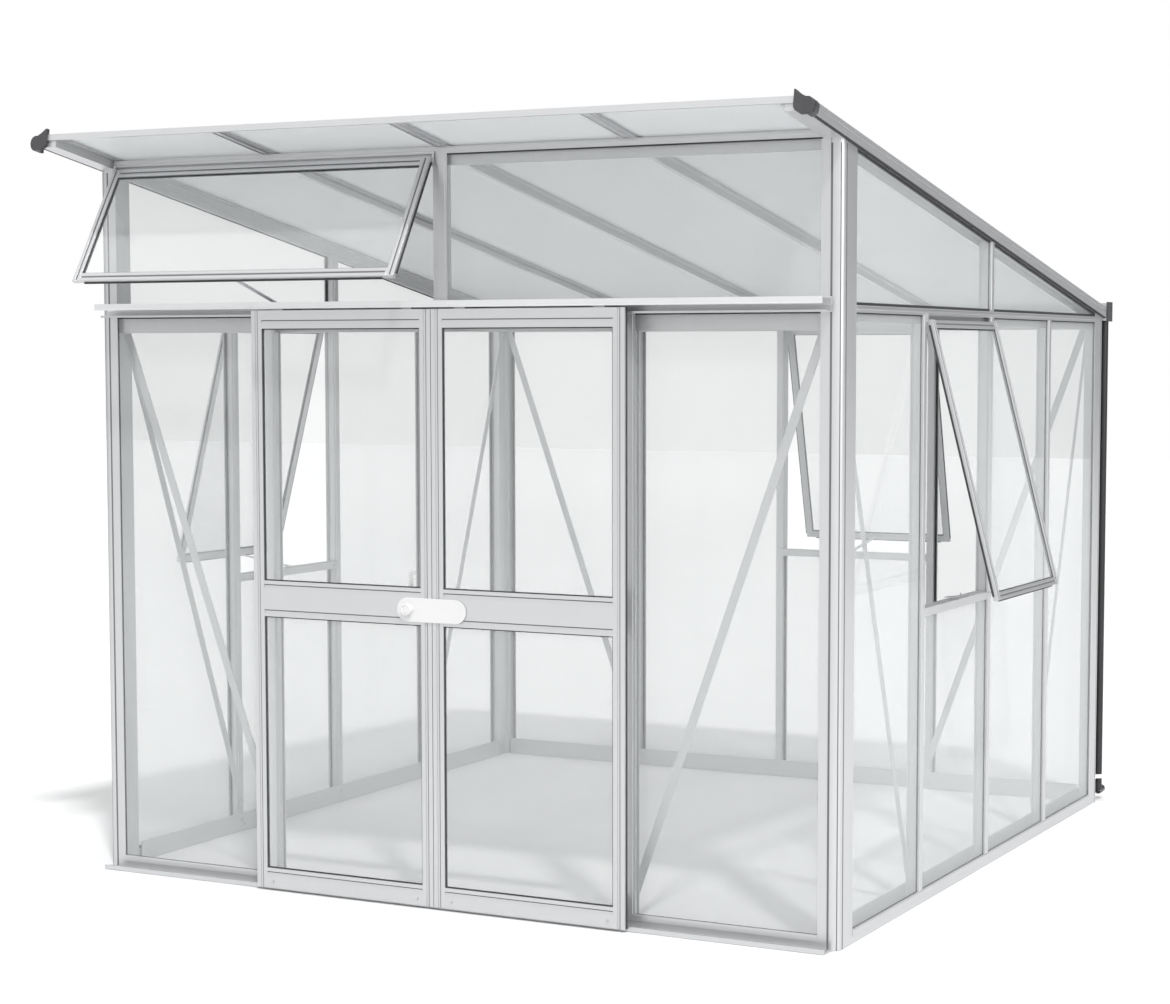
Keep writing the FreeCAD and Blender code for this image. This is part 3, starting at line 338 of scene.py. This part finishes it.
def finish_piece(name, shape, material, body):
    """Turn a bmesh into a flat-shaded object that rides on a body."""
    mesh = bpy.data.meshes.new(name)
    bmesh.ops.recalc_face_normals(shape, faces=shape.faces)
    shape.to_mesh(mesh)
    shape.free()
    mesh.polygons.foreach_set("use_smooth", [False] * len(mesh.polygons))
    piece = bpy.data.objects.new(name, mesh)
    bpy.context.collection.objects.link(piece)
    coat(piece, material)
    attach(piece, body)
    print(name, len(mesh.polygons), "faces on", body)
    return piece


# %% [markdown]
# ## Rubber seals
# Each pane is bedded in black rubber that shows as a thin line along the bars. A pane's two large
# faces are inset, the rim is kept and pushed out by the seal's thickness. The rim follows any
# outline, so the sloping gable panes need nothing special.


# %% Seals round the panes
BROAD_SHARE = 0.12


def raised_corners(made):
    return [item for item in made["geom"] if isinstance(item, bmesh.types.BMVert)]


def seal_rims(name, node, wide, thick):
    """A rim of rubber on both sides of every pane of a part."""
    source = whole_faces(node)
    largest = max(face.calc_area() for face in source.faces)
    broad = [face for face in source.faces if face.calc_area() > largest * BROAD_SHARE]
    rims = set(bmesh.ops.inset_individual(source, faces=broad, thickness=wide)["faces"])
    rest = [face for face in source.faces if face not in rims]
    bmesh.ops.delete(source, geom=rest, context="FACES")
    source.normal_update()
    outwards = {corner.co.to_tuple(5): face.normal.copy()
                for face in source.faces for corner in face.verts}
    made = bmesh.ops.extrude_face_region(source, geom=source.faces[:], use_keep_orig=True)
    for corner in raised_corners(made):
        corner.co += outwards[corner.co.to_tuple(5)] * thick
    return finish_piece(name, source, SEAL, BODY_OF[node])


for wall in ("left", "right", "back", "front"):
    seal_rims(wall + "_wall_seals", wall + "_wall_glass", 0.0115, 0.001)
for door in ("door_left", "door_right"):
    seal_rims(door + "_seals", door + "_glass", 0.0045, 0.0015)
for vent in ("awning_vent", "left_vent", "right_vent", "back_vent"):
    seal_rims(vent + "_pane_seals", vent + "_glass", 0.004, 0.0015)

# %% [markdown]
# ## Strips along bars
# An extruded bar isn't flat: it has ribs, bull noses and grooves down its length. They could be cut
# into each bar's section, but a bar's mesh stays as it is, so they are laid on its faces instead. A
# strip is a cube stretched along a face's long side, with its long edges bevelled. Each strip is four
# numbers: its place across the face, its width, how far it stands out and how much its edges are
# rounded. A rib, a rounded cap and a dark gasket then differ only in numbers.


# %% Strips on the long faces of a bar
MUCH_THE_SAME_WAY = 0.9


def long_faces(node, facing, narrow, wide, least=0.25):
    """Middle, run, across, normal, length and width of each long face of a part."""
    source = whole_faces(node)
    found = []
    for face in source.faces:
        if face.normal.dot(Vector(facing)) < MUCH_THE_SAME_WAY:
            continue
        side = max(face.edges, key=lambda edge: edge.calc_length())
        run = (side.verts[1].co - side.verts[0].co).normalized()
        across = face.normal.cross(run)
        if max(across, key=abs) < 0:
            run, across = -run, -across
        along = [corner.co.dot(run) for corner in face.verts]
        over = [corner.co.dot(across) for corner in face.verts]
        length, width = max(along) - min(along), max(over) - min(over)
        if length < least or not narrow <= width <= wide:
            continue
        middle = (run * (max(along) + min(along)) / 2 + across * (max(over) + min(over)) / 2
                  + face.normal * face.calc_center_median().dot(face.normal))
        found.append((middle, run, across, face.normal.copy(), length, width))
    source.free()
    return found


FASCIA = long_faces("roof_fascia", (0, -1, 0), 0.015, 0.025)[0]
print("the fascia board is", round(FASCIA[4], 3), "m long")


# %% One strip, and the same strips on many faces
def soften(shape, edges, offset, segments=2):
    """Round some edges over by an offset."""
    bmesh.ops.bevel(shape, geom=list(edges), offset=offset, segments=segments, affect="EDGES",
                    profile=0.5, material=-1)


def strip(shape, face, at, wide, tall, round_off, short=0.0):
    """A bevelled strip along one face, at a distance from its middle line."""
    middle, run, across, normal, length, _ = face
    turn = Matrix((run, across, normal)).transposed().to_4x4()
    size = Matrix.Diagonal((length - short * 2, wide, tall * 2, 1))
    place = Matrix.Translation(middle + across * at) @ turn @ size
    corners = bmesh.ops.create_cube(shape, size=1.0, matrix=place)["verts"]
    edges = {edge for corner in corners for edge in corner.link_edges
             if abs((edge.verts[1].co - edge.verts[0].co).normalized().dot(run)) > 0.99}
    if round_off:
        soften(shape, edges, round_off, 3)


def strips(name, node, facings, widths, pattern, material, short=0.0, least=0.25):
    """The same pattern of strips on every long face of a part: (at, wide, tall, round_off)."""
    shape = bmesh.new()
    for facing in facings:
        for face in long_faces(node, facing, *widths, least):
            for numbers in pattern:
                strip(shape, face, *numbers, short)
    return finish_piece(name, shape, material, BODY_OF[node])


# %% [markdown]
# ## Ribs on the walls
# The cap of a stud is bull-nosed, so that the glass is gripped by two soft edges. The sills and rails
# carry a rib along their upper edge that sheds rain. Each is one strip, and the width of a face picks
# out which faces get it.

# %% Caps, ribs and rails
OUTWARDS = ((1, 0, 0), (-1, 0, 0), (0, 1, 0), (0, -1, 0))
STUD_CAP = (0.034, 0.038)
BULL_NOSE = ((0, 0.025, 0.0024, 0.002),)
SILL_RIB = ((0.009, 0.018, 0.002, 0.0016),)
RAIL_RIB = ((0.003, 0.008, 0.0016, 0.0012),)
HOOD_BEAD = ((-0.006, 0.004, 0.0016, 0.0012),)
for node in ("wall_studs", "door_jambs", "clerestory_mullion"):
    strips(node + "_noses", node, OUTWARDS, STUD_CAP, BULL_NOSE, ALUMINIUM["z"])
strips("gable_king_posts_noses", "gable_king_posts", OUTWARDS, STUD_CAP, BULL_NOSE,
       ALUMINIUM["z"], short=0.004, least=0.2)
for node, axis in (("wall_sills", "y"), ("front_sill", "x")):
    strips(node + "_ribs", node, OUTWARDS, (0.038, 0.042), SILL_RIB, ALUMINIUM[axis])
for node, axis in (("gable_rails", "y"), ("eave_beam", "x"), ("front_top_beam", "x")):
    strips(node + "_ribs", node, OUTWARDS, (0.015, 0.026), RAIL_RIB, ALUMINIUM[axis])

# %% [markdown]
# ## Rafters, jambs and hood
# The rafters' feet show three ribs from below, an end rafter has a black seal along its rebate, and a
# jamb has a black pile seal on each side for the door to close on. The hood has one fine bead.

# %% Feet of the rafters, seals of the jambs
DOWNWARDS = ((0, -0.17, -0.98),)
SIDEWAYS = OUTWARDS[:2]
FOOT_RIBS = ((-0.019, 0.006, 0.0022, 0.0012), (0.008, 0.005, 0.0022, 0.0012),
             (0.019, 0.006, 0.0022, 0.0012))
REBATE_SEAL = ((0, 0.0095, 0.0032, 0.0008),)
JAMB_SEAL = ((0, 0.030, 0.0012, 0.0006),)
strips("rafter_foot_ribs", "middle_rafters", DOWNWARDS, (0.045, 0.055), FOOT_RIBS, ALUMINIUM["y"])
strips("rafter_side_seals", "end_rafters", DOWNWARDS, (0.008, 0.012), REBATE_SEAL, SEAL, 0.001)
strips("jamb_seals", "door_jambs", SIDEWAYS, (0.025, 0.040), JAMB_SEAL, SEAL, 0.001)
strips("hood_bead", "door_hood", ((0, -1, 0),), (0.012, 0.020), HOOD_BEAD, HOOD_ALUMINIUM_PAINTED_HIGHLIGHT)

# %% [markdown]
# ## Grooves
# The doors' bars have a shallow groove along each edge. In soft light a groove 2 mm deep hardly
# shows, so a thin dark line lies along its floor as painted shade. A corner post has a fine line
# on its nose and a wider groove on each flange, each filled with a dark strip of painted shade.

# %% Shade in the grooves of the doors' bars
DOOR_GROOVE = (0.0095, 0.0105)
GROOVE_LINE = ((0.0032, 0.003, 0.0003, 0),)
# painted shade: a thin dark strip along the floor of each groove of the doors' bars
for side in ("left", "right"):
    strips("door_%s_grooves" % side, "door_%s_bars" % side, ((0, -1, 0),), DOOR_GROOVE,
           GROOVE_LINE, GROOVE_PAINTED_SHADE)

# %% Painted shade in the grooves of the corner posts
GROOVE_FROM_CORNER = 0.031
GROOVE_FLOOR = 0.0021
NOSE_RADIUS = 0.025
NOSE_LINE = (0.0032, 0.0003)
FLANGE_STRIP = (0.008, 0.0018)


def paint_post_groove_shade(node, to_y, skip_top):
    """Dark lines of painted shade in the grooves of the two posts of one wall; to_y says which way
    the wall faces.
    """
    low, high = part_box(node)
    shape = bmesh.new()
    tall = high.z - low.z - skip_top
    half_x = max(abs(low.x), abs(high.x))
    half_y = max(abs(low.y), abs(high.y))
    level = low.z + tall / 2
    up = Vector((0, 0, 1))
    for side in (-1, 1):
        nose = Vector((side * (half_x - NOSE_RADIUS), to_y * (half_y - NOSE_RADIUS), level))
        on_front = Vector((side * (half_x - GROOVE_FROM_CORNER), to_y * (half_y - GROOVE_FLOOR),
                           level))
        on_side = Vector((side * (half_x - GROOVE_FLOOR), to_y * (half_y - GROOVE_FROM_CORNER),
                          level))
        slant = Vector((side, to_y, 0)).normalized()
        for middle, normal, (wide, raised) in (
                (nose + slant * NOSE_RADIUS, slant, NOSE_LINE),
                (on_front, Vector((0, to_y, 0)), FLANGE_STRIP),
                (on_side, Vector((side, 0, 0)), FLANGE_STRIP)):
            face = (middle, up, normal.cross(up), normal, tall, wide)
            strip(shape, face, 0, wide, raised, 0)
    return finish_piece(node + "_grooves", shape, GROOVE_PAINTED_SHADE, "frame")


# painted shade: dark strips on each post's nose and flanges where the grooves would be shaded
paint_post_groove_shade("front_corner_posts", -1, 0.012)
paint_post_groove_shade("back_corner_posts", 1, 0.020)

# %% [markdown]
# ## Vents
# A vent's bars have a shallow groove down the middle of the outer face, which two low ribs make, and
# a dark strip along its floor is painted shade. A black weather seal stands out round its edge, and
# shows as a dark line when the vent is open. The vents are modelled open, each at its own slant, so
# the direction is measured from the glass.


# %% Which way an open vent faces
VENT_WALLS = {"awning_vent": (0, -1, 0), "left_vent": (-1, 0, 0), "right_vent": (1, 0, 0),
              "back_vent": (0, 1, 0)}


def outward_of(vent, wall_side):
    """The direction an open vent's glass faces, on its outer side."""
    source = whole_faces(vent + "_glass")
    broad = [face for face in source.faces if face.normal.dot(Vector(wall_side)) > 0]
    normal = max(broad, key=lambda face: face.calc_area()).normal.copy()
    source.free()
    return normal


# %% Ribs and weather seals of the vents
VENT_FACE = (0.020, 0.030)
VENT_EDGE = (0.010, 0.018)
VENT_RIBS = ((-0.0075, 0.0085, 0.0014, 0.0011), (0.0075, 0.0085, 0.0014, 0.0011))
VENT_GROOVE = ((0, 0.0045, 0.0003, 0),)
SEAL_FROM_MIDDLE = 0.0042
for vent, wall_side in VENT_WALLS.items():
    bars = vent + "_bars"
    outward = outward_of(vent, wall_side)
    print(vent, "faces", outward)
    strips(vent + "_ribs", bars, [outward], VENT_FACE, VENT_RIBS, ALUMINIUM["z"])
    # painted shade: a dark strip along the floor of each vent bar's middle groove
    strips(vent + "_grooves", bars, [outward], VENT_FACE, VENT_GROOVE, GROOVE_PAINTED_SHADE, 0.004)
    sideways = outward.cross(Vector((0, 0, 1))).normalized()
    down = outward.cross(sideways).normalized()
    shape = bmesh.new()
    for way in (sideways, -sideways, down, -down):
        face = max(long_faces(bars, way, *VENT_EDGE), key=lambda item: item[0].dot(way))
        inwards = -SEAL_FROM_MIDDLE if face[2].dot(outward) > 0 else SEAL_FROM_MIDDLE
        strip(shape, face, inwards, 0.0055, 0.0038, 0.0012, 0.014)
    finish_piece(vent + "_edge_seals", shape, SEAL, vent)

# %% [markdown]
# ## Draught seals
# A brush seal runs down both side edges of each door. Where the doors meet there is hardly any gap,
# so it stands out 0.4 mm there, and 2 mm on the side that passes the jamb.

# %% Draught seals of the doors
AT_MEETING, AT_JAMB = 0.0004, 0.002
for side, way in (("left", -1), ("right", 1)):
    bars = "door_%s_bars" % side
    shape = bmesh.new()
    for sign in (-1, 1):
        edges = long_faces(bars, (sign, 0, 0), 0.010, 0.018, 1.0)
        face = max(edges, key=lambda item: sign * item[0].x)
        back = 0.004 if face[2].y > 0 else -0.004
        strip(shape, face, back, 0.005, AT_MEETING if sign * way < 0 else AT_JAMB, 0.0)
    finish_piece("door_%s_draught_seals" % side, shape, SEAL, "door_" + side)

# %% [markdown]
# ## Bolts
# The frame is bolted through its inner faces. Each bolt is a six-sided head with bevelled corners on
# a round washer, made by one short function and set down wherever a bar ends. A cone with six
# segments is already a hexagon head, which is quicker than cutting one from a cylinder.


# %% Hexagon bolts
def hexagon_bolt(shape, place, normal, radius=0.0065):
    """A washer and a bolt head that stand on a face."""
    turn = normal.to_track_quat("Z", "Y").to_matrix().to_4x4()
    washer = Matrix.Translation(place + normal * 0.0006) @ turn
    bmesh.ops.create_cone(shape, cap_ends=True, segments=20, radius1=radius * 1.35,
                          radius2=radius * 1.3, depth=0.0012, matrix=washer)
    head = Matrix.Translation(place + normal * 0.003) @ turn
    made = bmesh.ops.create_cone(shape, cap_ends=True, segments=6, radius1=radius,
                                 radius2=radius * 0.96, depth=0.0038, matrix=head)["verts"]
    top = {edge for corner in made for edge in corner.link_edges
           if all((item.co - place).dot(normal) > 0.004 for item in edge.verts)}
    soften(shape, top, 0.0007)


# %% Separate solids of one part
def islands(node):
    """The lowest and highest corner of each separate solid of a part."""
    source = whole_faces(node)
    seen = set()
    boxes = []
    for first in source.verts:
        if first in seen:
            continue
        seen.add(first)
        stack, group = [first], []
        while stack:
            corner = stack.pop()
            group.append(corner.co.copy())
            for edge in corner.link_edges:
                other = edge.other_vert(corner)
                if other not in seen:
                    seen.add(other)
                    stack.append(other)
        low = Vector([min(point[axis] for point in group) for axis in range(3)])
        high = Vector([max(point[axis] for point in group) for axis in range(3)])
        boxes.append((low, high))
    source.free()
    return boxes


print("frame_bolts holds", len(islands("frame_bolts")), "solids")

# %% Bolts at the foot of the frame
bolts = bmesh.new()
for low, high in islands("frame_bolts"):
    size = high - low
    thin = 0 if size.x < size.y else 1
    middle = (low + high) / 2
    normal = Vector((0, 0, 0))
    normal[thin] = -1 if middle[thin] > 0 else 1
    middle[thin] -= normal[thin] * size[thin] / 2
    hexagon_bolt(bolts, middle, normal, 0.0056)
foot_bolts = finish_piece("foot_bolts", bolts, STEEL, "frame")
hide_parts("frame_bolts")


# %% Bolts at the ends of studs, braces and sills
SMALL_BOLT = 0.0045
HEAD_BEAM_BOLTS = (-0.46, -0.20, 0.20, 0.46)


def inward(face):
    """True for a face that looks towards the middle of the floor."""
    flat = Vector((face[0].x, face[0].y, 0))
    return face[3].dot(flat) < -0.5


def end_bolts(shape, face, from_end, radius=0.0065):
    for end in (-1, 1):
        hexagon_bolt(shape, face[0] + face[1] * end * (face[4] / 2 - from_end), face[3], radius)


bolts = bmesh.new()
for facing in OUTWARDS:
    for face in filter(inward, long_faces("wall_studs", facing, 0.023, 0.025)):
        hexagon_bolt(bolts, face[0] + Vector((0, 0, face[4] / 2 + 0.024)), face[3])
    for face in filter(inward, long_faces("wall_braces", facing, 0.025, 0.027)):
        end_bolts(bolts, face, 0.016)
    for face in filter(inward, long_faces("vent_sills", facing, 0.018, 0.030)):
        end_bolts(bolts, face, 0.02, SMALL_BOLT)
for face in long_faces("door_head_beam", (0, 1, 0), 0.060, 0.072):
    for part in HEAD_BEAM_BOLTS:
        hexagon_bolt(bolts, face[0] + face[1] * face[4] * part, face[3])
finish_piece("rail_bolts", bolts, STEEL, "frame")

# %% Bolts of the doors' bottom rails
for side in ("left", "right"):
    bolts = bmesh.new()
    for face in long_faces("door_%s_bars" % side, (0, -1, 0), 0.008, 0.045, 0.5):
        if abs(face[1].x) > MUCH_THE_SAME_WAY and face[0].z < 0.06 and face[5] > 0.03:
            end_bolts(bolts, face, 0.02, SMALL_BOLT)
    finish_piece("door_%s_bolts" % side, bolts, STEEL, "door_" + side)

# %% [markdown]
# ## End caps
# Each end rafter is closed by a moulded cap whose outline rises to a fin on the roof side and swells
# round the rafter's outer side. The outline is what one sees, so it is drawn as one face from points
# in millimetres, and the face is pushed back to give the cap its depth. The fascia board tells where
# the caps go.

# %% Rafter caps
FASCIA_LOW = 0.020
CAP_OUTLINE = ((0, 56), (5, 55), (21, 42), (34, 35), (46, 34), (54, 29), (59, 21), (60, 10),
               (57, -2), (49, -11), (22, -12), (5, -1), (0, 8))
LOBE_OUTLINE = ((37.5, 34), (46, 34), (54, 29), (59, 21), (60, 10), (57, -2), (49, -11),
                (37.5, -12))
SHARP = 1.2


def outline_block(shape, outline, origin, side, up, depth):
    """A face drawn from (across, up) points in millimetres, pushed back by a depth."""
    corners = [shape.verts.new(origin + Vector((side, 0, 0)) * across * 0.001 + up * rise * 0.001)
               for across, rise in outline]
    face = shape.faces.new(corners)
    made = bmesh.ops.extrude_face_region(shape, geom=[face], use_keep_orig=True)
    for corner in raised_corners(made):
        corner.co += depth


def sharp_edges(shape):
    return [edge for edge in shape.edges if edge.is_manifold and edge.calc_face_angle() > SHARP]


middle, _, up, normal, length, width = FASCIA
caps = bmesh.new()
for side in (-1, 1):
    corner = middle + Vector((side * length / 2, 0, 0)) - up * (width / 2 + FASCIA_LOW)
    outline_block(caps, CAP_OUTLINE, corner + normal * 0.008, side, up, -normal * 0.014)
    outline_block(caps, LOBE_OUTLINE, corner + normal * 0.004, side, up, -normal * 0.036)
bmesh.ops.recalc_face_normals(caps, faces=caps.faces)
soften(caps, sharp_edges(caps), 0.0015)
print("rafter caps", len(caps.faces), "faces")

# %% [markdown]
# ## Gutter caps
# The gutter's ends are closed by plates with a raised panel. The panel comes from two insets of the
# outer face: one for its outline, one that lifts it.

# %% Gutter caps
for low, high in islands("plastic_end_caps"):
    if high.y < 0:
        continue
    size = high - low
    place = Matrix.Translation((low + high) / 2) @ Matrix.Diagonal((*size, 1))
    made = bmesh.ops.create_cube(caps, size=1.0, matrix=place)["verts"]
    outer = max((face for corner in made for face in corner.link_faces),
                key=lambda face: face.calc_center_median().x * math.copysign(1, low.x))
    bmesh.ops.inset_individual(caps, faces=[outer], thickness=0.006, depth=0.0)
    bmesh.ops.inset_individual(caps, faces=[outer], thickness=0.001, depth=0.0015)
end_caps = finish_piece("moulded_end_caps", caps, DARK_CAP, "frame")
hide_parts("plastic_end_caps")

# %% [markdown]
# ## Lock
# The lock's cover is a round-ended plate with softened edges. Its outline is already right in the
# CAD part, so a copy of that is bevelled and stands for it.

# %% Lock cover
plate = whole_faces("lock_plate")
soften(plate, sharp_edges(plate), 0.0009)
cover = finish_piece("lock_cover", plate, LOCK_WHITE, "door_left")
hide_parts("lock_plate")

# %% [markdown]
# ## Knob
# A low turned knob sits on the cover. Anything turned is a profile spun round an axis, so the crown
# is seven points of (radius, depth), spun round the lock's own hinge, with a small grip across it.

# %% Knob crown
CROWN = ((0.0182, 0.0125), (0.0182, 0.0015), (0.0165, -0.0008), (0.0125, -0.0012),
         (0.0115, 0.0002), (0.004, -0.0006), (0.0, -0.0008))
GRIP = (0.006, 0.003, 0.02, 1)
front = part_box("lock_knob")[0].y
joints = {joint["name"]: joint for joint in frame["record"]["behaviour"]["joints"]}
axis_at = Vector(joints["lock_turn"]["pos_m"])
crown = bmesh.new()
profile = [crown.verts.new((axis_at.x + across, front + along, axis_at.z))
           for across, along in CROWN]
edges = [crown.edges.new(pair) for pair in zip(profile, profile[1:])]
bmesh.ops.spin(crown, geom=profile + edges, cent=axis_at, axis=(0, 1, 0), steps=36,
               angle=math.tau, use_merge=True)
bmesh.ops.remove_doubles(crown, verts=crown.verts, dist=SAME_PLACE)
bmesh.ops.holes_fill(crown, edges=crown.edges, sides=64)
grip = Matrix.Translation((axis_at.x, front - 0.001, axis_at.z)) @ Matrix.Diagonal(GRIP)
made = bmesh.ops.create_cube(crown, size=1.0, matrix=grip)["verts"]
soften(crown, {edge for corner in made for edge in corner.link_edges}, 0.001)
finish_piece("knob_crown", crown, LOCK_WHITE, "lock")

# %% [markdown]
# ## Floor
# A pale floor runs far past the house, so that its edge never shows. It lies a millimetre low, which
# keeps it from fighting with the sills' undersides.


# %% Floor
def floor():
    mesh = bpy.data.meshes.new("studio_floor")
    shape = bmesh.new()
    bmesh.ops.create_grid(shape, x_segments=1, y_segments=1, size=30.0)
    shape.to_mesh(mesh)
    shape.free()
    piece = bpy.data.objects.new("studio_floor", mesh)
    bpy.context.collection.objects.link(piece)
    piece.location.z = -0.001
    finish = Recipe("studio_floor_paint", Roughness=0.5)
    cloud = finish.noise(0.6, 2.0)
    colour = finish.blend(cloud, (0.72, 0.723, 0.727, 1), (0.75, 0.75, 0.753, 1))
    coat(piece, finish.finish(Base_Color=colour))
    print("floor", round(piece.dimensions.x), "m across")


floor()

# %% [markdown]
# ## Surroundings
# Metal shows what stands round it, so an even white room would leave these bars flat. The sky is
# white overhead and towards the front, and falls to a dark grey at the back and below, which gives
# each bar a light and a dark side. Rays that come straight from the camera see plain white instead,
# like a paper backdrop, and the Standard view keeps that white pure.

# %% World
BACKWARDS_LOSS = -0.3
LOW_SKY, HIGH_SKY = (0.10, 0.102, 0.106, 1), (1.0, 1.0, 1.0, 1)
world = bpy.data.worlds.new("studio")
bpy.context.scene.world = world
world.use_nodes = True
nodes, join = world.node_tree.nodes, world.node_tree.links.new
sky = nodes["Background"]
sky.inputs["Strength"].default_value = 1.15
backdrop = nodes.new("ShaderNodeBackground")
backdrop.inputs["Color"].default_value = HIGH_SKY
way = nodes.new("ShaderNodeTexCoord")
split = nodes.new("ShaderNodeSeparateXYZ")
tilt = nodes.new("ShaderNodeMath")
tilt.operation = "MULTIPLY_ADD"
tilt.inputs[1].default_value = BACKWARDS_LOSS
shade = nodes.new("ShaderNodeValToRGB")
for stop, position, colour in zip(shade.color_ramp.elements, (0.0, 0.5), (LOW_SKY, HIGH_SKY)):
    stop.position = position
    stop.color = colour
choice = nodes.new("ShaderNodeMixShader")
ray = nodes.new("ShaderNodeLightPath")
join(way.outputs["Generated"], split.inputs[0])
join(split.outputs["Y"], tilt.inputs[0])
join(split.outputs["Z"], tilt.inputs[2])
join(tilt.outputs[0], shade.inputs[0])
join(shade.outputs[0], sky.inputs["Color"])
join(ray.outputs["Is Camera Ray"], choice.inputs[0])
join(sky.outputs[0], choice.inputs[1])
join(backdrop.outputs[0], choice.inputs[2])
join(choice.outputs[0], nodes["World Output"].inputs[0])
bpy.context.scene.view_settings.view_transform = "Standard"
print("sky strength", round(sky.inputs["Strength"].default_value, 2))

# %% [markdown]
# ## Lights
# A soft sun from the front right throws the bars' pale shadows on the floor, and a large area light
# on the right lifts the gable.


# %% Lights
def hang(light, place, aim):
    """Put a light at a place, with its beam along a direction."""
    piece = bpy.data.objects.new(light.name, light)
    bpy.context.collection.objects.link(piece)
    piece.location = place
    piece.rotation_euler = Vector(aim).to_track_quat("-Z", "Y").to_euler()
    print(light.name, light.type, "energy", round(light.energy, 1))


fill = bpy.data.lights.new("fill_light", "AREA")
fill.size = 4.0
fill.energy = 150
hang(fill, (7.0, -1.5, 3.5), (-7.0, 1.5, -2.5))
sun = bpy.data.lights.new("key_light", "SUN")
sun.energy = 2.3
sun.angle = math.radians(4)
hang(sun, (0.0, 0.0, 0.0), (-3.0, 3.4, -7.0))

# %% [markdown]
# ## Camera
# The camera stands at the front right, at standing height, about 8 m away. It looks down a little,
# and a small lens shift sets the house in the frame.

# %% Camera
lens = bpy.data.cameras.new("camera")
lens.sensor_width = 36.0
lens.lens = 74.62
lens.shift_x = -0.0405
lens.shift_y = 0.0285
camera = bpy.data.objects.new("camera", lens)
bpy.context.collection.objects.link(camera)
camera.location = (3.752, -7.456, 1.657)
camera.rotation_euler = (math.radians(90 - 4.283), 0, math.radians(26.815))
bpy.context.scene.camera = camera
print("camera", camera.location, "lens", round(lens.lens, 1), "mm")
